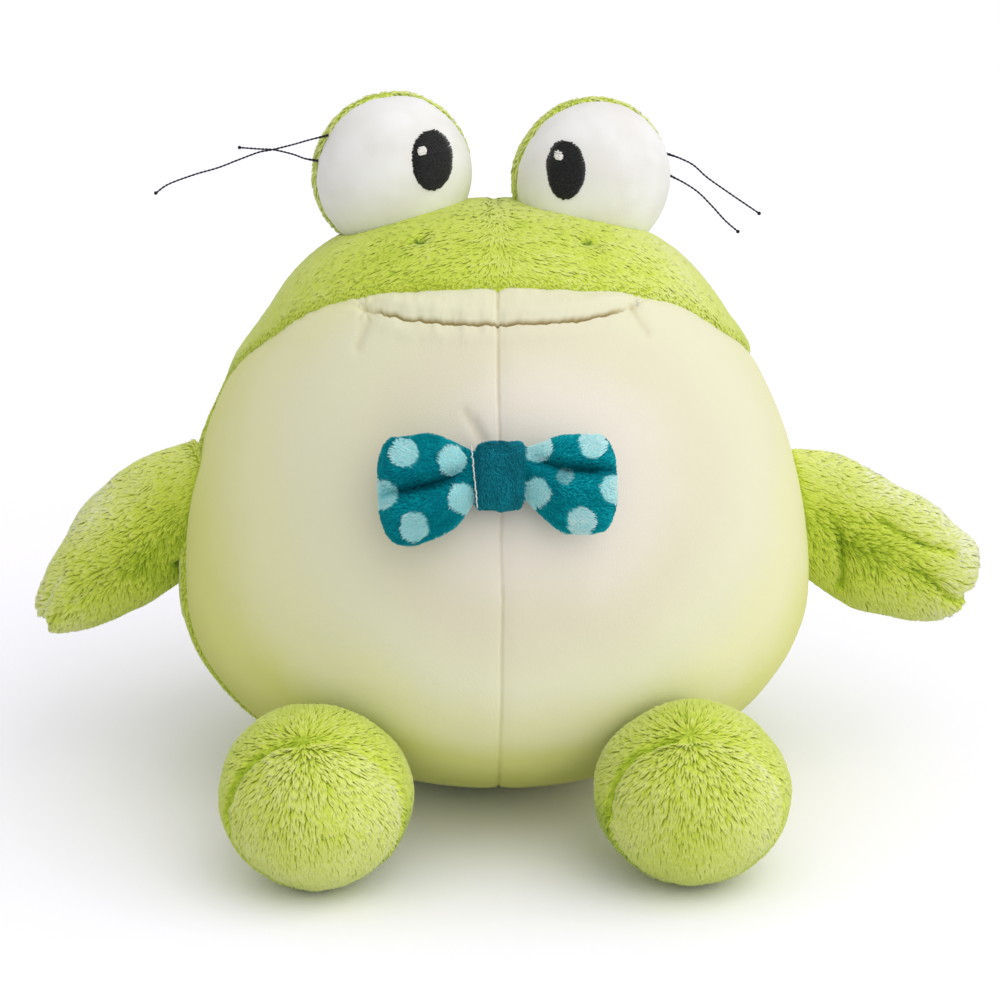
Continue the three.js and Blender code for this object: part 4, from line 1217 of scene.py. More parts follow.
def combed(roots, normals, direction, ruffle, rng, length=PILE_LENGTH, clump=CLUMP):
    """Tufts for green pile, matted in clumps. ruffle, from 0 to 1, says how much they part."""
    stray = 0
    for blob, shares in PILE_STRAYS:
        stray = stray + noise_vectors(roots, *blob) * mixed(*shares, ruffle)[:, None]
    flow = lying(direction + stray, normals)
    random = rng.random((4, len(roots)))
    middles, apart = clump_middles(roots, clump, CLUMP_SEED)
    toward = middles - roots
    toward = toward - dot(toward, normals)[:, None] * normals
    long = length * mixed(*PILE_LENGTH_SHARES, random[1])
    reach = flow * long[:, None] + toward * mixed(*PILE_GATHER_SHARES, ruffle)[:, None]
    crowned, lowered = CLUMP_LIFT_SHARES
    lift = mixed(*PILE_LIFTS, ruffle) * (1 + ruffle * (crowned - lowered * apart))
    shade = PILE_SHADE_SHARE + layered(roots, PILE_SHADES)
    # Painted shade at clump edges, painted light at clump middles
    shade += mixed(*CLUMP_PAINTED_SHADE_SHARES, ruffle) * (CLUMP_MIDDLE_SHARE - apart)
    shade += mixed(-TUFT_SHADE_SHARE, TUFT_SHADE_SHARE, random[3])
    return {
        "roots": roots,
        "normals": normals,
        "flow": unit(reach),
        "length": np.linalg.norm(reach, axis=1),
        "lift": lift * mixed(*PILE_LIFT_SHARES, random[0]),
        "width": PILE_WIDTH * mixed(*PILE_WIDTH_SHARES, random[2]),
        "shade": shade,
    }


# Body


def egg_power(upper):
    """How square the body is, above or below its widest height."""
    return 2 + 2 * np.where(upper, FULLNESS_UPPER_SHARE, FULLNESS_LOWER_SHARE)


def egg_swell(up):
    return 1 + SHOULDER_SWELL_SHARE * smooth_step(up, SHOULDER_START_SHARE, 1)


def egg(down, turn, level):
    """The body at an angle down from the top and an angle round from the front, with its surface
    this much outside the lining."""
    power = egg_power(np.cos(down) > 0)
    up = squared(np.cos(down), 2 / power)
    spread = np.abs(np.sin(down)) ** (2 / power)
    rise = np.where(up > 0, BODY_RISE, BODY_DROP) + level
    depth = np.where(np.cos(turn) > 0, BODY_FRONT, BODY_BACK) + level
    x = (BODY_HALF_WIDTH + level) * spread * egg_swell(up) * np.sin(turn)
    y = -depth * spread * np.cos(turn)
    return np.stack([x, y, BODY_WIDE_HEIGHT + rise * up], -1)


def egg_level(z, level):
    """At a height: the power, the share of the way up or down from the widest, and the half width."""
    high = z > BODY_WIDE_HEIGHT
    up = (z - BODY_WIDE_HEIGHT) / (np.where(high, BODY_RISE, BODY_DROP) + level)
    return egg_power(high), np.abs(up), (BODY_HALF_WIDTH + level) * egg_swell(up)


def egg_share(points, level):
    """Under 1 inside the body and over 1 outside it."""
    x, y, z = np.moveaxis(points, -1, 0)
    power, up, half_width = egg_level(z, level)
    depth = np.where(y < 0, BODY_FRONT, BODY_BACK) + level
    return np.hypot(x / half_width, y / depth) ** power + up**power


def egg_front(x, z, level):
    """How far forward the body comes at x and a height, as a negative y."""
    power, up, half_width = egg_level(z, level)
    flat = np.clip(1 - up**power, 0, 1) ** (1 / power)
    return -(BODY_FRONT + level) * np.sqrt(np.clip(flat**2 - (x / half_width) ** 2, 0, 1))


def seam_line():
    """Heights, depths and slopes of the side seam from the bottom up, before its shift."""
    line = rounded_route(SIDE_SEAM_SHARES, SEAM_STEPS)[::-1] * (BODY_FRONT, BODY_HEIGHT)
    return line[:, 1], line[:, 0], np.gradient(line[:, 0], line[:, 1])


SEAM_HEIGHTS, SEAM_DEPTHS, SEAM_SLOPES = seam_line()


def past_seam(points, normals):
    """How far behind the side seam a point of the body lies, along the cloth."""
    height = points[..., 2]
    low = 1 - smooth_step(height / BODY_HEIGHT, *SIDE_SEAM_FADE_SHARES)
    shift = np.where(points[..., 0] < 0, SIDE_SEAM_SHIFT["left"], SIDE_SEAM_SHIFT["right"]) * low
    away = points[..., 1] - np.interp(height, SEAM_HEIGHTS, SEAM_DEPTHS) - shift
    slope = np.interp(height, SEAM_HEIGHTS, SEAM_SLOPES)
    steepest = np.stack([np.zeros_like(slope), np.ones_like(slope), -slope], -1)
    steepest = steepest - dot(steepest, normals)[..., None] * normals
    return away / np.maximum(np.linalg.norm(steepest, axis=-1), LEAST_SLOPE_SHARE)


def body_grid(rows, columns, level):
    """Angles of a grid over the body, its even surface, and how far past the seam that lies."""
    down, turn = np.meshgrid(rows, columns, indexing="ij")
    points = egg(down, turn, level)
    normals = unit(np.cross(np.gradient(points, axis=0), np.gradient(points, axis=1)))
    inward = dot(normals, points - BODY_MIDDLE)[..., None] < 0
    return down, turn, points, past_seam(points, np.where(inward, -normals, normals))


def body_skin(down, turn, level, keep, closed, floor_gap):
    """Points and faces of a panel of the body where it is kept, and which points those are."""
    points = egg(down, turn, level).reshape(-1, 3)
    points[:, 2] = np.maximum(points[:, 2], floor_gap)
    faces = grid_faces(*down.shape, closed)
    faces = faces[keep.ravel()[faces].all(1)]
    points, faces, used = used_only(points, faces)
    return points, facing_out(points, faces, BODY_MIDDLE), used


def mouth_line(x):
    """Height of the mouth fold at x."""
    share = np.clip(np.abs(x) / MOUTH_HALF_WIDTH, 0, 1)
    return mixed(MOUTH_HEIGHT, MOUTH_CORNER_HEIGHT, share**4)


def mouth_form(x, z):
    """Rise of the cloth at the drawn-in mouth, with its lip, chin and wrinkles, and its crease, painted as
    shade.
    """
    flat = np.stack([x, 0 * x, z], -1)
    pucker = mixed(PUCKER_RIGHT_SHARE, 1, 1 - smooth_step(x, *PUCKER_FADE))
    along = (z - mouth_line(x)) / MOUTH_SLOPE_SHARE
    along = along + pucker * layer(flat, MOUTH_SWAY) + layer(flat, MOUTH_SHIVER)
    within = 1 - smooth_step(np.abs(x) - MOUTH_HALF_WIDTH, *MOUTH_END_FADE)
    crease = within * bump(along, MOUTH_CREASE * (1 + layer(flat, MOUTH_CREASE_CHANGE)))
    lips = ridge(along - LIP_ABOVE, LIP) + ridge(along + LIP_ABOVE, CHIN)
    wrinkles = pucker * layer(flat, MOUTH_WRINKLES) * bump(along, MOUTH_WRINKLE_REACH)
    return within * (lips + wrinkles) - MOUTH_DEPTH * crease, crease


def corner_form(x, z, toward):
    """Rise at a corner of the mouth, where the thread pulls the cloth into rays, and painted shade in its
    pit.
    """
    across = x - toward * (MOUTH_HALF_WIDTH + CORNER_OUT)
    up = z - MOUTH_CORNER_HEIGHT
    away = np.hypot(across, up / MOUTH_SLOPE_SHARE)
    rays = np.cos(CORNER_RAYS * np.arctan2(up, across) + toward)
    rise = rays * ridge(away - CORNER_RAY_START, CORNER_RAY) - ridge(away, CORNER_PIT)
    return rise, ridge(away, CORNER_PAINTED_SHADE)


def fold_form(x, z, route):
    """Rise and painted crease shade at a short fold."""
    folded = bump(route_gap(np.stack([x, z], -1), route), BELLY_FOLD_WIDTH)
    return -BELLY_FOLD_DEPTH * folded, BELLY_FOLD_PAINTED_SHADE_SHARE * folded


def seam_form(x, z):
    """Rise and painted shade in the groove at the belly's centre seam."""
    upright = np.stack([0 * z, 0 * z, z], -1)
    away = x + BELLY_SEAM_LEFT - layer(upright, BELLY_SEAM_SWAY)
    seam = bump(away, BELLY_SEAM_WIDTH)
    stitched = BELLY_SEAM_DEPTH * (1 + layer(upright, BELLY_SEAM_STITCHES)) * seam
    return -stitched - ridge(away, BELLY_SEAM_VALLEY), BELLY_SEAM_PAINTED_SHADE_SHARE * seam


def belly_form(points):
    """How far the belly's cloth rises over its even surface, and how deep in a crease it lies, for painted
    shade.
    """
    x, z = points[..., 0], points[..., 2]
    forms = [mouth_form(x, z), seam_form(x, z)]
    forms += [corner_form(x, z, toward) for toward in SIDES.values()]
    forms += [fold_form(x, z, route) for route in BELLY_FOLDS]
    rises, folds = zip(*forms)
    tack = np.hypot(x - BOW_MIDDLE[0], z - BOW_MIDDLE[2] + TACK_BELOW)
    front = points[..., 1] < 0
    return front * (sum(rises) - ridge(tack, TACK_PIT)), front * np.maximum.reduce(folds)


def build_belly():
    mouth_up = ((MOUTH_HEIGHT - BODY_WIDE_HEIGHT) / (BODY_RISE + VELOUR)) ** (1 + FULLNESS_UPPER_SHARE)
    rows = spaced(BELLY_COUNTS[0], *BELLY_DOWN, math.acos(mouth_up), *MOUTH_CROWD)
    columns = spaced(BELLY_COUNTS[1], *BELLY_TURN, *SEAM_CROWD)
    down, turn, even, past = body_grid(rows, columns, VELOUR)
    rise, fold = belly_form(even)
    level = VELOUR + layered(even, BODY_LUMPS) + rise - ridge(past, SIDE_SEAM_VALLEY)
    level = level - BELLY_TUCK_DEPTH * smooth_step(past, *BELLY_TUCK_FADE)
    level = level + layer(even, SIDE_SEAM_PUCKER) * bump(past, SIDE_SEAM_PUCKER_REACH)
    points, faces, used = body_skin(down, turn, level, past < BELLY_TUCK, False, FLOOR_GAP)
    # fold is how much painted shade each point gets in the creases
    belly = mesh_piece("belly", points, faces, belly_velour, {"fold": fold.ravel()[used]})
    nodes = ("belly_panel_left", "belly_panel_right", "body_stuffing", "pellet_bag")
    dress(belly, "body", nodes)


def nostril_gap(points):
    """How far points of the head lie from the nearer nostril, seen from above."""
    gaps = [np.hypot(points[..., 0] - x, points[..., 1] - y) for x, y in NOSTRIL_PLACES.values()]
    return np.where(points[..., 2] < BODY_HEIGHT / 2, np.inf, np.minimum(*gaps))


def build_back():
    """The cloth of the head, back and base: its points, its faces and how far past the seam they are."""
    rows = np.linspace(*BACK_DOWN, BACK_COUNTS[0])
    columns = full_turn(BACK_COUNTS[1]) - math.pi
    down, turn, even, past = body_grid(rows, columns, PLUSH_CLOTH)
    level = PLUSH_CLOTH + layered(even, BODY_LUMPS)
    level = level - BACK_TUCK_DEPTH * (1 - smooth_step(past, *BACK_TUCK_FADE))
    behind = mixed(HEAD_SEAM_FRONT_SHARE, 1, smooth_step(even[..., 1], *HEAD_SEAM_FADE))
    level = level - behind * ridge(even[..., 0], HEAD_SEAM_VALLEY) * (past > 0)
    level = level - ridge(nostril_gap(even), NOSTRIL_PIT)
    points, faces, used = body_skin(down, turn, level, past > -BACK_TUCK, True, BACK_FLOOR_GAP)
    back = mesh_piece("back", points, faces, green_cloth)
    dress(back, "body", ("back_panel_left", "back_panel_right", "base_panel"))
    return points, faces, past.ravel()[used]


def build_back_pile(points, faces, past):
    tufts = back_tufts(points, faces, past)
    order = np.argsort(np.arctan2(tufts["roots"][:, 0], -tufts["roots"][:, 1]))
    for index, part in enumerate(np.array_split(order, math.ceil(len(order) / MOST_TUFTS))):
        pile = pile_piece(f"back_pile_{index}", chosen_tufts(tufts, part), green_pile, HEAD_SOFTNESS_SHARE)
        dress(pile, "body")


def back_tufts(points, faces, past):
    rng = np.random.default_rng(BACK_PILE_SEED)
    middle = points[faces].mean(1)
    shown = (middle[:, 2] > SHOWN_HEIGHT_SHARE * BODY_HEIGHT) & (middle[:, 1] < SHOWN_BACK)
    counts = np.where(shown, PILE_TUFTS_SHOWN, PILE_TUFTS)
    counts = np.where(past[faces].mean(1) < -PILE_TUCK, 0, counts)
    roots, normals = scatter(points, faces, counts, rng)
    keep = roots[:, 2] > PILE_FLOOR_GAP
    for side in SIDES:
        keep &= eye_share(roots, side, VELOUR) > 1
    roots, normals = roots[keep], normals[keep]
    x, y, z = roots.T
    crown = smooth_step(z, CROWN_HEIGHT_SHARE * BODY_HEIGHT, BODY_HEIGHT) * (y < CROWN_BACK)
    parting = PARTING_SHARE * np.clip(x / PARTING_REACH, -1, 1)[:, None] * X_AXIS
    direction = -Z_AXIS + crown[:, None] * (np.array(CROWN_WAY_SHARES) + parting)
    waves = layer(roots, HEAD_WAVES)
    edge = smooth_step(past_seam(roots, normals), *HEAD_EDGE_FADE)
    ruffle = np.clip(HEAD_RUFFLE_SHARES[0] + HEAD_RUFFLE_SHARES[1] * waves, 0, 1) * edge
    ruffle = ruffle * (1 - ridge(x, HEAD_SMOOTH))
    length = PILE_LENGTH * mixed(HEAD_EDGE_SHARES["length"], 1, edge)
    tufts = combed(roots, normals, direction, ruffle, rng, length, HEAD_CLUMP)
    near_seam = bump(x, HEAD_SEAM_VALLEY[1]) * smooth_step(y, *HEAD_SEAM_FADE)
    tufts["lift"] *= 1 - HEAD_SEAM_LIFT_SHARE * near_seam
    tufts["lift"] *= mixed(HEAD_EDGE_SHARES["lift"], 1, edge) * mixed(1, HEAD_CROWN_LIFT_SHARE, crown)
    # Tone from waves and crinkles, with painted light at the head's sides and painted shade left of its
    # middle
    light = HEAD_WAVE_SHARE * waves - ridge(x + HEAD_PAINTED_SHADE_LEFT, HEAD_PAINTED_SHADE)
    light = light - HEAD_DARK_SHARE * smooth_step(layer(roots, HEAD_CRINKLES), *HEAD_DARK_FADE_SHARES)
    for side, toward in SIDES.items():
        light = light + HEAD_PAINTED_LIGHT_SHARES[side] * smooth_step(toward * x, *HEAD_PAINTED_LIGHT_FADES[side])
    gap = nostril_gap(roots)
    tufts["length"] *= 1 - ridge(gap, NOSTRIL_SHORT)
    tufts["shade"] += light * crown - ridge(gap, NOSTRIL_PAINTED_SHADE)
    return tufts


def on_body(x, z, level):
    return np.array([x, float(egg_front(np.array(x), np.array(z), level)), z])


def build_mouth_thread():
    """The thread down in the mouth fold, with fluffed ends at both corners."""
    end = MOUTH_HALF_WIDTH - MOUTH_THREAD_END
    depth = VELOUR - MOUTH_DEPTH + MOUTH_THREAD_UP
    line = [on_body(x, float(mouth_line(x)), depth) for x in np.linspace(-end, end, MOUTH_THREAD_POINTS)]
    tubes = [(line, THREAD / 2)]
    rng = np.random.default_rng(MOUTH_SEED)
    steps = np.linspace(0, 1, FLUFF_POINTS)[:, None]
    for toward in SIDES.values():
        corner = on_body(toward * (MOUTH_HALF_WIDTH + FLUFF_OUT), MOUTH_CORNER_HEIGHT, VELOUR - FLUFF_DEPTH)
        for _ in range(FLUFF_COUNT):
            way = unit(np.array([rng.normal(*spread) for spread in FLUFF_WAY_SHARES]) * (toward, 1, 1))
            reach = rng.uniform(*FLUFF_REACH)
            bend = rng.normal(0, FLUFF_BEND, 3)
            tubes.append((corner + way * reach * steps + bend * steps**2, FLUFF_RADIUS))
    dress(tubes_piece("mouth_stitch", tubes, white_thread), "body", ["mouth_thread"])


def build_nostril(side):
    """Two short threads that pull a nostril in."""
    heights = BODY_HEIGHT + np.linspace(*NOSTRIL_SEARCH, NOSTRIL_GUESSES)
    places = np.stack([*np.full((len(heights), 2), NOSTRIL_PLACES[side]).T, heights], -1)
    middle = places[egg_share(places, PLUSH_CLOTH - NOSTRIL_THREAD_DEPTH) < 1][-1]
    steps = np.linspace(0, 1, NOSTRIL_THREAD_POINTS)[:, None]
    sag = NOSTRIL_THREAD_SAG * np.sin(steps * math.pi) * Z_AXIS
    ways = [np.array(NOSTRIL_THREAD_WAY) * (lean, 1, 1) for lean in (-1, 1)]
    tubes = [(middle + way * steps - sag, THREAD / 2) for way in ways]
    piece = tubes_piece("nostril_stitch_" + side, tubes, green_thread)
    dress(piece, "body", ["nostril_thread_" + side])


def build_body():
    build_belly()
    skin = build_back()
    build_mouth_thread()
    build_back_pile(*skin)
    for side in SIDES:
        build_nostril(side)


# Eyes


def eye_matrix(side):
    return (
        Matrix.Translation(EYE_MIDDLE[side])
        @ Matrix.Rotation(math.radians(EYE_TURN), 4, "Z")
        @ Matrix.Rotation(math.radians(EYE_ROLL[side]), 4, "Y")
    )


def eye_share(points, side, level):
    """Under 1 inside an eye and over 1 outside it."""
    own = turned_back(points, eye_matrix(side))
    return np.linalg.norm(own / (EYE_HALF + level), axis=-1)


def eye_panel(side, panel, seed):
    """Points and faces of an eye's front or back panel, which runs on a little inside the body."""
    front = panel == "front"
    ways = ball_ways(EYE_ANGLES[panel], EYE_COUNTS[panel])
    lining = ways * EYE_HALF
    past = lining[..., 1] - EYE_SEAM
    level = (VELOUR if front else PLUSH_CLOTH) + layer(lining, EYE_SOFT, seed)
    tuck = smooth_step(past, *EYE_TUCK_FADES[panel])
    level = level - EYE_TUCK_DEPTH * (tuck if front else 1 - tuck)
    if front:
        level = level + layer(lining, EYE_PUCKER, seed) * bump(past, EYE_PUCKER_REACH)
    points = turned((ways * (EYE_HALF + level[..., None])).reshape(-1, 3), eye_matrix(side))
    rows, columns = EYE_COUNTS[panel]
    ring = np.arange(columns) + (0 if front else (rows - 1) * columns)
    points, faces = closed_pole(points, grid_faces(rows, columns, True), ring, front)
    faces = facing_out(points, faces, np.array(EYE_MIDDLE[side]))
    faces = faces[(egg_share(points, -EYE_SUNK)[faces] > 1).any(1)]
    return used_only(points, faces)[:2]


def eye_tufts(side, points, faces, seed, rng):
    roots, normals = scatter(points, faces, PILE_TUFTS_SHOWN, rng)
    past = turned_back(roots, eye_matrix(side))[:, 1] - EYE_SEAM
    keep = (past > EYE_RIM_GAP) & (egg_share(roots, PLUSH_CLOTH - EYE_BODY_GAP) > 1)
    roots, normals = roots[keep], normals[keep]
    rim = bump(past[keep], EYE_RIM)
    direction = np.array(EYE_COMB_SHARES) - rim[:, None] * np.array(EYE_RIM_COMB_SHARES)
    ruffle = EYE_RUFFLE_SHARE + layer(roots, EYE_RUFFLE, seed) - EYE_RIM_SMOOTH_SHARE * rim
    length = mixed(PILE_LENGTH, EYE_RIM_PILE, rim)
    tufts = combed(roots, normals, direction, np.clip(ruffle, 0, 1), rng, length, EYE_CLUMP)
    tufts["width"] *= mixed(1, EYE_RIM_WIDTH_SHARE, rim)
    tufts["shade"] += EYE_RIM_LIGHT_SHARE * rim
    return tufts


def eye_front(x, z, level):
    half = EYE_HALF + level
    return -half[1] * np.sqrt(np.clip(1 - (x / half[0]) ** 2 - (z / half[2]) ** 2, 0, 1))


def satin_patch(name, side, middle, half, height, material, rng):
    """Satin stitches side by side across an oval on the front of an eye."""
    roll = math.radians(PUPIL_ROLL[side])
    half = np.array(half) - STITCH_RADIUS
    ragged = STITCH_RAGGED_SHARE * half[0]
    end_dome, outer_dome = STITCH_DOME_SHARES
    tubes = []
    for offset in np.arange(-half[1], half[1], STITCH):
        share = offset / half[1]
        reach = half[0] * math.sqrt(max(1 - share * share, 0))
        low, high = -reach - rng.uniform(0, ragged), reach + rng.uniform(0, ragged)
        across = np.linspace(low, high, STITCH_POINTS)
        up = offset + STITCH_SLANT * across / half[0] + rng.normal(0, STITCH_STRAY)
        x = middle[0] + across * math.cos(roll) + up * math.sin(roll)
        z = middle[1] - across * math.sin(roll) + up * math.cos(roll)
        ends = 1 - end_dome * (across / (reach + STITCH_END)) ** 4
        y = eye_front(x, z, VELOUR) - height * ends * (1 - outer_dome * share**6)
        y[[0, -1]] += height
        tubes.append((turned(np.stack([x, y, z], -1), eye_matrix(side)), STITCH_RADIUS))
    return tubes_piece(name, tubes, material)


def build_eye(side, seed):
    rng = np.random.default_rng(seed)
    white = mesh_piece("eye_white_" + side, *eye_panel(side, "front", seed), white_velour)
    dress(white, "body", ["eye_front_" + side, "eye_stuffing_" + side])
    points, faces = eye_panel(side, "back", seed)
    green = mesh_piece("eye_back_cloth_" + side, points, faces, green_cloth)
    dress(green, "body", ["eye_back_" + side])
    tufts = eye_tufts(side, points, faces, seed, rng)
    dress(pile_piece("eye_pile_" + side, tufts, green_pile, EYE_SOFTNESS_SHARE), "body")
    middle, half = PUPIL_MIDDLE[side], PUPIL_HALF[side]
    pupil = satin_patch("pupil_" + side, side, middle, half, PUPIL_RISE, black_thread, rng)
    dress(pupil, "body", ["eye_pupil_" + side])
    middle, half = np.array(middle) + GLINT_OFF[side], GLINT_HALF[side]
    glint = satin_patch("glint_" + side, side, middle, half, GLINT_RISE, white_thread, rng)
    dress(glint, "body", ["eye_glint_" + side])


def build_lash(side, name):
    """A lash: two plies twisted round each other, knotted at the end."""
    route = np.array(LASH_ROUTES[side][name]) * (1, -1, 1) + np.array(EYE_MIDDLE[side])
    line = rounded_route(route, LASH_STEPS)
    along = unit(np.gradient(line, axis=0))
    first = unit(np.cross(along, Y_AXIS))
    second = np.cross(along, first)
    gone = np.cumsum(np.linalg.norm(np.diff(line, axis=0, prepend=line[:1]), axis=1))
    tubes = []
    for ply in (0, math.pi):
        angle = 2 * math.pi * gone / LASH_TWIST + ply
        off = first * np.cos(angle)[:, None] + second * np.sin(angle)[:, None]
        tubes.append((line + off * LASH_PLY_OUT, LASH_PLY_RADIUS * (1 + ridge(gone, LASH_ROOT_SWELL))))
    for turn in np.linspace(0, math.pi, KNOT_LOOPS, endpoint=False):
        angle = np.linspace(0, 2 * math.pi, KNOT_POINTS)
        loop = first[-1] * np.cos(turn) + second[-1] * np.sin(turn)
        ring = np.cos(angle)[:, None] * loop + np.sin(angle)[:, None] * along[-1]
        tubes.append((line[-1] + ring * KNOT_HALF, KNOT_RADIUS))
    piece = tubes_piece(f"lash_{name}_{side}", tubes, black_thread)
    dress(piece, "body", [f"eye_lash_{name}_{side}"])


# Arms


def arm_matrix(side):
    toward = SIDES[side]
    return (
        Matrix.Translation(ARM_ROOT[side])
        @ Matrix.Rotation(math.radians(toward * ARM_DROOP[side]), 4, "Y")
        @ Matrix.Rotation(math.radians(-toward * ARM_SWEEP[side]), 4, "Z")
        @ Matrix.Diagonal((toward, 1, 1, 1))
    )


def arm_route(side, shares):
    return rounded_route(shares, CREASE_STEPS) * (ARM_LENGTH[side], ARM_TOP)


def finger_routes(side):
    return {name: arm_route(side, line) for name, line in FINGER_LINE_SHARES[side].items()}


def slack_fold(side, along, up):
    """How far a point of an arm's front lies from the slack fold, and how much is left of it there."""
    gap = route_gap(np.stack([along, up], -1), arm_route(side, ARM_FOLD_SHARES[side]))
    return gap, 1 - smooth_step(up, *ARM_FOLD_FADE)


def arm_skin(side, seed):
    """An arm's cloth in its own frame, in rows of points round it, with their counts."""
    stations = rounded_route(ARM_SHARES[side], STATION_STEPS)
    rows, end_rows, columns = ARM_COUNTS
    share = closing_shares(stations[0, 0], ARM_CLOSE_SHARE, rows, end_rows)
    angle = full_turn(columns)
    top, bottom, thick = (np.interp(share, stations[:, 0], stations[:, at]) for at in (1, 2, 3))
    round_off = np.clip((share - ARM_CLOSE_SHARE) / (1 - ARM_CLOSE_SHARE), 0, 1)
    close = (1 - round_off**3) ** (1 / 3)
    high = top * (ARM_TOP - PLUSH) + PLUSH_CLOTH
    low = bottom * (ARM_BOTTOM - PLUSH) + PLUSH_CLOTH
    middle = ((high - low) / 2)[:, None]
    half = ((high + low) / 2 * close)[:, None]
    deep = ((thick * (ARM_THICKNESS / 2 - PLUSH) + PLUSH_CLOTH) * close)[:, None]
    along = (share * (ARM_LENGTH[side] - PLUSH + PLUSH_CLOTH))[:, None] + 0 * angle
    up = middle + half * np.cos(angle)
    through = deep * np.sin(angle)
    tip = smooth_step(share, NOTCH_START_SHARE, 1)[:, None]
    along = along - tip * ridge(up - NOTCH_SHARE[side] * ARM_TOP, NOTCH)
    front = np.sin(angle) < 0
    facing = np.where(front, 1, FINGER_BACK_SHARE) * np.abs(np.sin(angle)) ** FINGER_SIDE_POWER
    for route in finger_routes(side).values():
        start = smooth_step(along - route[0, 0], *FINGER_START_FADE)
        groove = start * ridge(route_gap(np.stack([along, up], -1), route), FINGER_CREASE) * facing
        through = through - np.sign(np.sin(angle)) * np.minimum(groove, FINGER_DEEPEST_SHARE * deep)
    gap, left = slack_fold(side, along, up)
    through = through + front * ridge(gap, ARM_FOLD) * left
    points = np.stack([along, through, up], -1)
    out = unit(np.stack([0 * along, through, up - middle], -1))
    points = points + out * (layered(points, ARM_SOFT, seed) * close[:, None])[..., None]
    return points.reshape(-1, 3), len(share), columns


def arm_tufts(side, points, faces, seed, rng):
    matrix = arm_matrix(side)
    roots, normals = scatter(points, faces, PILE_TUFTS_SHOWN, rng)
    keep = egg_share(roots, PLUSH_CLOTH - ARM_PILE_SUNK) > 1
    roots, normals = roots[keep], normals[keep]
    along, through, up = turned_back(roots, matrix).T
    front = through < 0
    routes = finger_routes(side)
    over = up - np.interp(along, routes["lower"][:, 0], routes["lower"][:, 1])
    below, above = (np.array(ARM_COMB_SHARES[name]) for name in ("below", "above"))
    own_flow = mixed(below, above, smooth_step(over, *ARM_COMB_FADE)[:, None])
    place = np.stack([along, up], -1)
    gaps = [route_gap(place, route) for route in routes.values()]
    in_crease = bump(np.minimum(*gaps), CREASE_REACH) * front
    ruffle = ARM_RUFFLE_SHARE + layer(roots, ARM_RUFFLE, seed) + ridge(over, ARM_RUFFLE_RIDGE)
    ruffle = np.clip(ruffle, 0, 1) * smooth_step(along, *ARM_RUFFLE_FADE)
    ruffle = ruffle * (1 - ARM_SMOOTH_SHARE * smooth_step(-up, *ARM_SMOOTH_FADE))
    length = PILE_LENGTH * mixed(ARM_ROOT_PILE_SHARE, 1, smooth_step(along, *ARM_ROOT_FADE))
    length = length * (1 - CREASE_LENGTH_SHARE * in_crease)
    tufts = combed(roots, normals, own_flow @ np.array(matrix)[:3, :3].T, ruffle, rng, length)
    tufts["lift"] *= 1 - CREASE_LIFT_SHARE * in_crease
    # Painted light on the top edge and at the tip
    light = ARM_TOP_PAINTED_LIGHT_SHARE * smooth_step(up, 0, ARM_TOP)
    light = light + ARM_TIP_PAINTED_LIGHT_SHARE * smooth_step(along, *ARM_TIP_FADE) * front
    gap, left = slack_fold(side, along, up)
    # Painted shade near the body, below the lower crease, in the slack fold and in a patch on the front
    dark = ARM_ROOT_PAINTED_SHADE_SHARE * (1 - smooth_step(along, *ARM_ROOT_PAINTED_SHADE_FADE))
    dark = dark + ridge(over + ARM_LINE_BELOW, ARM_LINE_PAINTED_SHADE) * smooth_step(along, *ARM_LINE_FADE) * front
    dark = dark + ridge(gap, ARM_FOLD_PAINTED_SHADE) * left * front
    shade_along, shade_up = ARM_PAINTED_SHADE_MIDDLE[side]
    away = np.hypot(along - shade_along, up - shade_up)
    dark = dark + ARM_PAINTED_SHADE_SHARE * bump(away, ARM_PAINTED_SHADE_REACH[side])
    light = np.minimum(light, ARM_MOST_PAINTED_LIGHT_SHARE)
    tufts["shade"] += CREASE_PAINTED_SHADE_AND_LIGHT[side] * in_crease + light - dark
    return tufts


def build_finger_thread(name, side, route, skin):
    """The thread that holds a finger crease in, along the bottom of the crease."""
    front = skin[skin[:, 1] < 0]
    line = []
    for along, up in route[route[:, 0] < FINGER_THREAD_END_SHARE * ARM_LENGTH[side]]:
        off = np.hypot(front[:, 0] - along, front[:, 2] - up)
        nearest = np.argsort(off)[:NEAREST_POINTS]
        line.append((along, front[nearest, 1].mean() + FINGER_THREAD_DEPTH, up))
    tubes = [(turned(np.array(line), arm_matrix(side)), THREAD / 2)]
    thread = tubes_piece(f"finger_stitch_{name}_{side}", tubes, green_thread)
    dress(thread, "arm_" + side, [f"arm_finger_thread_{name}_{side}"])


def build_arm(side, seed):
    rng = np.random.default_rng(seed)
    own, faces = closed_grid(*arm_skin(side, seed))
    points = turned(own, arm_matrix(side))
    middle = turned(X_AXIS * ARM_LENGTH[side] / 2, arm_matrix(side))
    faces = facing_out(points, faces, middle)
    cloth = mesh_piece("arm_cloth_" + side, points, faces, green_cloth)
    tufts = arm_tufts(side, points, faces, seed, rng)
    pile = pile_piece("arm_pile_" + side, tufts, green_pile, ARM_SOFTNESS_SHARE)
    nodes = [name + side for name in ("arm_front_", "arm_back_", "arm_stuffing_")]
    dress(cloth, nodes=nodes)
    dress(pile)
    for piece in (cloth, pile):
        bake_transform(piece)
    for name, route in finger_routes(side).items():
        build_finger_thread(name, side, route, own)


# Feet


def foot_flex_matrix():
    """How the furthest flex of a foot turns it."""
    return (
        Matrix.Translation(FOOT_HINGE)
        @ Matrix.Rotation(math.radians(-FOOT_FLEX), 4, "X")
        @ Matrix.Translation(-Vector(FOOT_HINGE))
    )


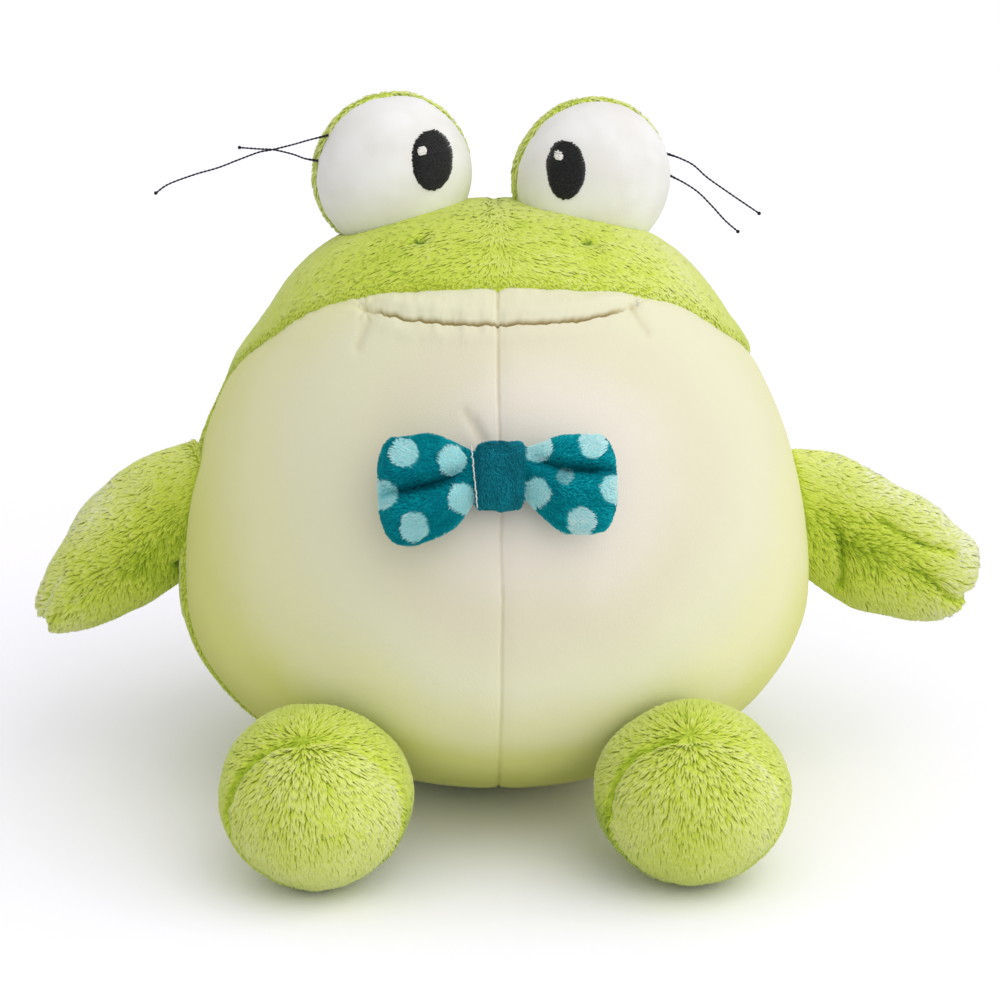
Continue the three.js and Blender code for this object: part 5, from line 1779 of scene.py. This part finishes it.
def foot_crease(own):
    """How deep the seam of a foot is drawn in, from 0 to 1: most at the upper left."""
    left = smooth_step(-own[..., 0], *FOOT_CREASE_FADES["left"])
    return left * smooth_step(own[..., 2], *FOOT_CREASE_FADES["up"])


def belly_gap(points):
    """How far in front of the belly points of a foot lie, at rest or flexed, whichever is less."""
    flexed = turned(points, foot_flex_matrix())
    gaps = [egg_front(each[:, 0], each[:, 2], VELOUR) - each[:, 1] for each in (points, flexed)]
    return np.minimum(*gaps)


def before_belly(points, gap):
    """Points moved forward where they would lie closer to the belly than a gap."""
    x, y, z = points.T
    return np.stack([x, np.minimum(y, egg_front(x, z, VELOUR + gap)), z], -1)


def foot_skin(side, seed):
    """Points and faces of a foot's cloth, pressed flat where it meets the belly and the floor."""
    middle = np.array(FOOT_MIDDLE[side])
    ways = ball_ways(FOOT_ANGLES, FOOT_COUNTS)
    lining = ways * FOOT_HALF
    past = lining[..., 1] - FOOT_SEAM
    even, drawn = FOOT_VALLEYS
    level = PLUSH_CLOTH + layered(lining, FOOT_SOFT, seed)
    level = level - (even + drawn * foot_crease(lining)) * bump(past, FOOT_VALLEY_REACH)
    level = level + layer(lining, FOOT_PUCKER, seed) * bump(past, FOOT_PUCKER_REACH)
    points = (ways * (FOOT_HALF + level[..., None]) + middle).reshape(-1, 3)
    points = before_belly(points, FOOT_BODY_GAPS["rest"])
    points[:, 2] = np.maximum(points[:, 2], FLOOR_GAP)
    flexed = before_belly(turned(points, foot_flex_matrix()), FOOT_BODY_GAPS["flexed"])
    points, faces = closed_grid(turned_back(flexed, foot_flex_matrix()), *FOOT_COUNTS)
    return points, facing_out(points, faces, middle)


def foot_tufts(side, points, faces, seed, rng):
    """Pile combed away from the whorl, shorter where the foot has little room before the belly."""
    roots, normals = scatter(points, faces, PILE_TUFTS_SHOWN, rng)
    gap = belly_gap(roots)
    keep = (gap > FOOT_PILE_GAP) & (roots[:, 2] > FOOT_PILE_FLOOR_GAP)
    roots, normals, gap = roots[keep], normals[keep], gap[keep]
    own = roots - np.array(FOOT_MIDDLE[side])
    x, y, z = own.T
    off = own - np.array(WHORL[side])
    direction = off - FOOT_DOWN * (y < FOOT_SEAM / 2)[:, None] * Z_AXIS
    seam = bump(y - FOOT_SEAM, FOOT_SEAM_REACH)
    low = smooth_step(-z, *FOOT_LOW_FADE)
    ruffle = FOOT_RUFFLE_SHARE + layer(roots, FOOT_RUFFLE, seed) - FOOT_LOW_SMOOTH_SHARE * low
    ruffle = np.clip(ruffle + ridge(np.linalg.norm(off, axis=1), FOOT_RUFFLE_RIDGE), 0, 1)
    free = smooth_step(gap, *FOOT_PILE_FADE)
    length = PILE_LENGTH * mixed(FOOT_FREE_SHARES["length"], 1, free)
    tufts = combed(roots, normals, direction, ruffle * free, rng, length)
    tufts["lift"] *= (1 - FOOT_SEAM_LIFT_SHARE * seam) * mixed(FOOT_FREE_SHARES["lift"], 1, free)
    panel = smooth_step(y - FOOT_SEAM, *FOOT_PANEL_FADE)
    inner = smooth_step(-SIDES[side] * x, *FOOT_INNER_FADE)
    # The back panel a little darker, with painted shade low down and on the inner side
    share, low_share, inner_share = FOOT_PANEL_DARK_AND_PAINTED_SHADE_SHARES
    under = smooth_step(-z, *FOOT_PANEL_LOW_FADE)
    dark = panel * (share + (low_share + inner_share * inner) * under)
    # Painted shade in the seam's crease
    dark = dark + seam * mixed(*FOOT_SEAM_PAINTED_SHADE_SHARES, foot_crease(own))
    share, less = FOOT_FLECK_SHARES
    flecks = smooth_step(layer(roots, FOOT_FLECKS, seed), *FOOT_FLECK_FADE_SHARES)
    dark = dark + share * flecks * (1 - less * low)
    # Lighter low down, and painted light on the right side
    share, low_share, right_share = FOOT_LIGHTER_AND_PAINTED_LIGHT_SHARES
    right = smooth_step(x, *FOOT_PAINTED_LIGHT_FADE) * (1 - FOOT_PAINTED_LIGHT_LOW_SHARE * low) * (1 - panel)
    tufts["shade"] += share + low_share * low + right_share * right - dark
    return tufts


def build_foot(side, seed):
    rng = np.random.default_rng(seed)
    points, faces = foot_skin(side, seed)
    cloth = mesh_piece("foot_cloth_" + side, points, faces, green_cloth)
    nodes = [name + side for name in ("foot_front_", "foot_back_", "foot_stuffing_")]
    dress(cloth, "foot_" + side, nodes)
    tufts = foot_tufts(side, points, faces, seed, rng)
    pile = pile_piece("foot_pile_" + side, tufts, green_pile, FOOT_SOFTNESS_SHARE)
    dress(pile, "foot_" + side)


# Bow tie

bow_matrix = (
    Matrix.Translation(BOW_MIDDLE)
    @ Matrix.Rotation(math.radians(-BOW_TILT), 4, "X")
    @ Matrix.Rotation(math.radians(-BOW_ROLL), 4, "Y")
)
BOW_STATIONS = rounded_route(BOW_SHARES, STATION_STEPS)


def by_wing(x, values):
    return np.where(x < 0, values["left"], values["right"])


def wing_form(x):
    """How far the wings are opened at each x, and how high their fold is there."""
    share = np.abs(x) / by_wing(x, BOW_HALF_LENGTH)
    opened = np.interp(share, BOW_STATIONS[:, 0], BOW_STATIONS[:, 1])
    folds = {side: np.interp(share, *np.transpose(WING_FOLDS[side])) for side in SIDES}
    return opened, by_wing(x, folds)


def wing_grid():
    """Both wings in the bow's own frame: two puffed rolls each, with a deep fold between."""
    rows, end_rows, columns = WING_COUNTS
    half_share = closing_shares(0, BOW_CLOSE_SHARE, rows, end_rows)
    share = np.concatenate([-half_share[:0:-1], half_share])
    angle = full_turn(columns)
    x = share * by_wing(share, BOW_HALF_LENGTH)
    opened, fold_at = (each[:, None] for each in wing_form(x))
    round_off = np.clip((np.abs(share) - BOW_CLOSE_SHARE) / (1 - BOW_CLOSE_SHARE), 0, 1)
    close = np.sqrt(1 - round_off**2)[:, None]
    half_height = mixed(PINCH_HALF_HEIGHT, by_wing(share, WING_HALF_HEIGHT)[:, None], opened)
    up = half_height * squared(np.cos(angle), WING_SQUARE_POWER) * mixed(1, close, WING_END_SHARE)
    front = mixed(PINCH_HALF_THICKNESS, WING_FRONT, opened) * close
    back = mixed(PINCH_HALF_THICKNESS, WING_BACK, opened) * close
    facing = np.sin(angle) < 0
    fold = opened * close * ridge(up - fold_at, WING_FOLD)
    puff = 1 + opened * ridge(np.abs(up - fold_at) - WING_PUFF_OFF, WING_PUFF)
    through = np.where(facing, front * puff * np.sin(angle) + fold, back * np.sin(angle))
    through = np.minimum(through, np.where(facing, back, np.inf))
    points = np.stack([x[:, None] + 0 * up, through, up - WING_DROP * opened], -1)
    past_band = np.abs(points[..., 0]) - BAND_WIDTH / 2
    gathers = layer(points, WING_GATHERS) * bump(past_band, WING_GATHER_REACH)
    out = unit(np.stack([0 * up, through, up], -1))
    uneven = (layered(points, WING_CRUMPLE) + gathers) * opened * close
    # depth is how far down in the deep fold each point lies, for painted shade
    depth = opened * bump(up - fold_at, FOLD_PAINTED_SHADE_REACH["cloth"]) * facing
    return (points + out * uneven[..., None]).reshape(-1, 3), depth.ravel(), len(share), columns


def spot_share(own):
    """How far points of the bow lie inside a spot, from 0 to 1."""
    x = own[:, 0] + np.where(own[:, 1] > BACK_DOT_START, BACK_DOT_SHIFT, 0)
    found = np.zeros(len(own))
    rough = layered(own, DOT_ROUGH)
    dots = [(place, DOT_RADIUS, 1) for place in DOT_PLACES]
    for place, radius, share in [*dots, (SMALL_DOT, SMALL_DOT_RADIUS, SMALL_DOT_SHARE)]:
        past = np.hypot(x - place[0], own[:, 2] - place[1]) + rough - radius
        found = np.maximum(found, share * (1 - smooth_step(past, -DOT_EDGE, DOT_EDGE)))
    return found


def outward(own):
    """Away from the middle of the bow along its wings."""
    return np.sign(own[:, :1]) * X_AXIS + NAP_SLANT_SHARE * np.sign(own[:, 2:]) * Z_AXIS


def downward(own):
    return NAP_SLANT_SHARE * X_AXIS - Z_AXIS + 0 * own


def nap_tufts(points, faces, ways, rng):
    """Short nap on the bow, which lies along the ways worked out in its own frame."""
    roots, normals = scatter(points, faces, NAP_TUFTS, rng)
    own = turned_back(roots, bow_matrix)
    direction = ways(own) @ np.array(bow_matrix)[:3, :3].T
    direction = direction + noise_vectors(roots, *NAP_STRAY) * NAP_STRAY_SHARE
    random = rng.random((4, len(roots)))
    shade = NAP_SHADE_SHARE + layer(roots, NAP_SHADE) + NAP_TUFT_SHADE_SHARE * (random[2] - 1 / 2)
    return own, {
        "roots": roots,
        "normals": normals,
        "flow": lying(direction, normals),
        "length": NAP_LENGTH * mixed(*NAP_LENGTH_SHARES, random[0]),
        "lift": mixed(*NAP_LIFTS, random[1]),
        "width": NAP_WIDTH * mixed(*NAP_WIDTH_SHARES, random[3]),
        "shade": shade,
    }


def build_wings(rng):
    own, depth, rows, columns = wing_grid()
    own, faces = closed_grid(own, rows, columns)
    points = turned(own, bow_matrix)
    faces = facing_out(points, faces, np.array(BOW_MIDDLE))
    # Painted shade in the deep fold
    shade = WING_SHADE_SHARE - FOLD_PAINTED_SHADE_SHARES["cloth"] * np.append(depth, [0, 0])
    values = {"shade": shade, "spot": spot_share(own)}
    wings = mesh_piece("bow_wing_cloth", points, faces, bow_nap, values)
    dress(wings, "bow_tie", ["bow_wings"])
    own, tufts = nap_tufts(points, faces, outward, rng)
    opened, fold_at = wing_form(own[:, 0])
    # Painted shade in the deep fold, and painted light on the right wing
    painted_fold_shade = bump(own[:, 2] + WING_DROP * opened - fold_at, FOLD_PAINTED_SHADE_REACH["nap"]) * (own[:, 1] < 0)
    tufts["shade"] -= FOLD_PAINTED_SHADE_SHARES["nap"] * opened * painted_fold_shade
    tufts["shade"] += WING_PAINTED_LIGHT_SHARE * smooth_step(own[:, 0], *WING_PAINTED_LIGHT_FADE)
    outside = np.abs(own[:, 0]) > BAND_WIDTH / 2 - BAND_OVERLAP
    tufts = chosen_tufts(tufts, outside)
    nap = pile_piece("bow_wing_nap", tufts, bow_nap, BOW_SOFTNESS_SHARE, spot_share(own[outside]))
    dress(nap, "bow_tie")


def build_band(rng):
    """The band round the middle, its short nap, and its raw edge."""
    rows, columns = BAND_COUNTS
    share = np.linspace(-1, 1, rows)[:, None]
    angle = full_turn(columns)[None, :]
    rolled = BAND_ROLLED * smooth_step(np.abs(share), BAND_ROLL_START_SHARE, 1)
    out = BAND_CLOTH + BAND_GAP + BAND_PUFF * (1 - share**2) - rolled
    x = share * BAND_WIDTH / 2 + BAND_SLANT * np.cos(angle)
    y = (PINCH_HALF_THICKNESS + out) * squared(np.sin(angle), BAND_SQUARE_POWER)
    z = (PINCH_HALF_HEIGHT + out) * squared(np.cos(angle), BAND_SQUARE_POWER)
    own = np.stack([x, y, z], -1).reshape(-1, 3)
    own = own + unit(own * (0, 1, 1)) * layer(own, BAND_CRUMPLE)[:, None]
    points = turned(own, bow_matrix)
    faces = facing_out(points, grid_faces(rows, columns, True), np.array(BOW_MIDDLE))
    values = {"shade": np.full(len(points), BAND_SHADE_SHARE)}
    dress(mesh_piece("band_cloth", points, faces, band_nap, values), "bow_tie", ["bow_band"])
    _, tufts = nap_tufts(points, faces, downward, rng)
    dress(pile_piece("band_nap", tufts, band_nap, BOW_SOFTNESS_SHARE), "bow_tie")
    up = np.linspace(1, -1, RAW_EDGE_POINTS)
    x = -BAND_WIDTH / 2 - RAW_EDGE_OUT - BAND_SLANT * up + rng.normal(0, RAW_EDGE_STRAY, len(up))
    y = -(PINCH_HALF_THICKNESS + BAND_CLOTH + RAW_EDGE_UP) * (1 - np.abs(up) ** 6 / 2)
    edge = np.stack([x, y, up * (PINCH_HALF_HEIGHT + BAND_CLOTH)], -1)
    raw = tubes_piece("band_raw_edge", [(turned(edge, bow_matrix), RAW_EDGE_RADIUS)], white_thread)
    dress(raw, "bow_tie")


def build_bow():
    rng = np.random.default_rng(BOW_SEED)
    build_wings(rng)
    build_band(rng)
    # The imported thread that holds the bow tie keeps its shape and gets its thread's look
    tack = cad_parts["bow_tack_stitch"]
    tack.data.materials.clear()
    tack.data.materials.append(white_thread)


# Stage


def stage_object(name, data, way, track):
    """A camera or lamp that looks along a way."""
    made = bpy.data.objects.new(name, data)
    made.rotation_mode = "QUATERNION"
    made.rotation_quaternion = Vector(way).to_track_quat(track, "Y")
    bpy.context.scene.collection.objects.link(made)
    return made


def build_camera():
    elevation, azimuth = math.radians(CAMERA_ELEVATION), math.radians(CAMERA_AZIMUTH)
    level = math.cos(elevation)
    ahead = Vector((-math.sin(azimuth) * level, math.cos(azimuth) * level, -math.sin(elevation)))
    data = bpy.data.cameras.new("camera")
    data.sensor_width = SENSOR_WIDTH
    data.lens = CAMERA_DISTANCE / PIXEL / PICTURE_WIDTH * SENSOR_WIDTH
    camera = stage_object("camera", data, ahead, "-Z")
    camera.location = (Vector(CAMERA_TARGET) - CAMERA_DISTANCE * ahead) * MILLIMETRE
    bpy.context.scene.camera = camera


def build_floor():
    corners = FLOOR_HALF * np.array([(-1, -1, 0), (1, -1, 0), (1, 1, 0), (-1, 1, 0)], float)
    cloth = Cloth("floor", roughness=0.9, sheen=0, tint=WHITE)
    seen = cloth.add("LightPath", {}, "Is Camera Ray")
    more = [share - FLOOR_SHARE for share in FLOOR_SEEN_SHARES]
    shares = [cloth.math("MULTIPLY_ADD", seen, each, FLOOR_SHARE) for each in more]
    material = cloth.finish(cloth.add("CombineColor", dict(enumerate(shares)), "Color"))
    mesh_piece("floor", corners, np.array([(0, 1, 2, 3)]), material)


def build_light():
    world = bpy.data.worlds.new("studio")
    bpy.context.scene.world = world
    look = Look(world)
    split = look.add("SeparateXYZ", {"Vector": look.add("TexCoord", {}, "Generated")}, "Z")
    up = look.math("MAXIMUM", split, 0)
    strength = look.math("MULTIPLY_ADD", up, ZENITH_STRENGTH - HORIZON_STRENGTH, HORIZON_STRENGTH)
    strength = look.math("MAXIMUM", strength, look.add("LightPath", {}, "Is Camera Ray"))
    background = look.tree.nodes["Background"]
    background.inputs["Color"].default_value = (1, 1, 1, 1)
    look.feed(background.inputs["Strength"], strength)
    data = bpy.data.lights.new("key", "SUN")
    data.energy = KEY_STRENGTH
    data.angle = math.radians(KEY_WIDTH)
    stage_object("key", data, KEY_FROM, "Z")
    bpy.context.scene.view_settings.view_transform = "Standard"


build_camera()
build_body()
for side in SIDES:
    build_eye(side, EYE_SEEDS[side])
    build_arm(side, ARM_SEEDS[side])
    build_foot(side, FOOT_SEEDS[side])
    for name in LASH_ROUTES[side]:
        build_lash(side, name)
build_bow()
build_floor()
build_light()
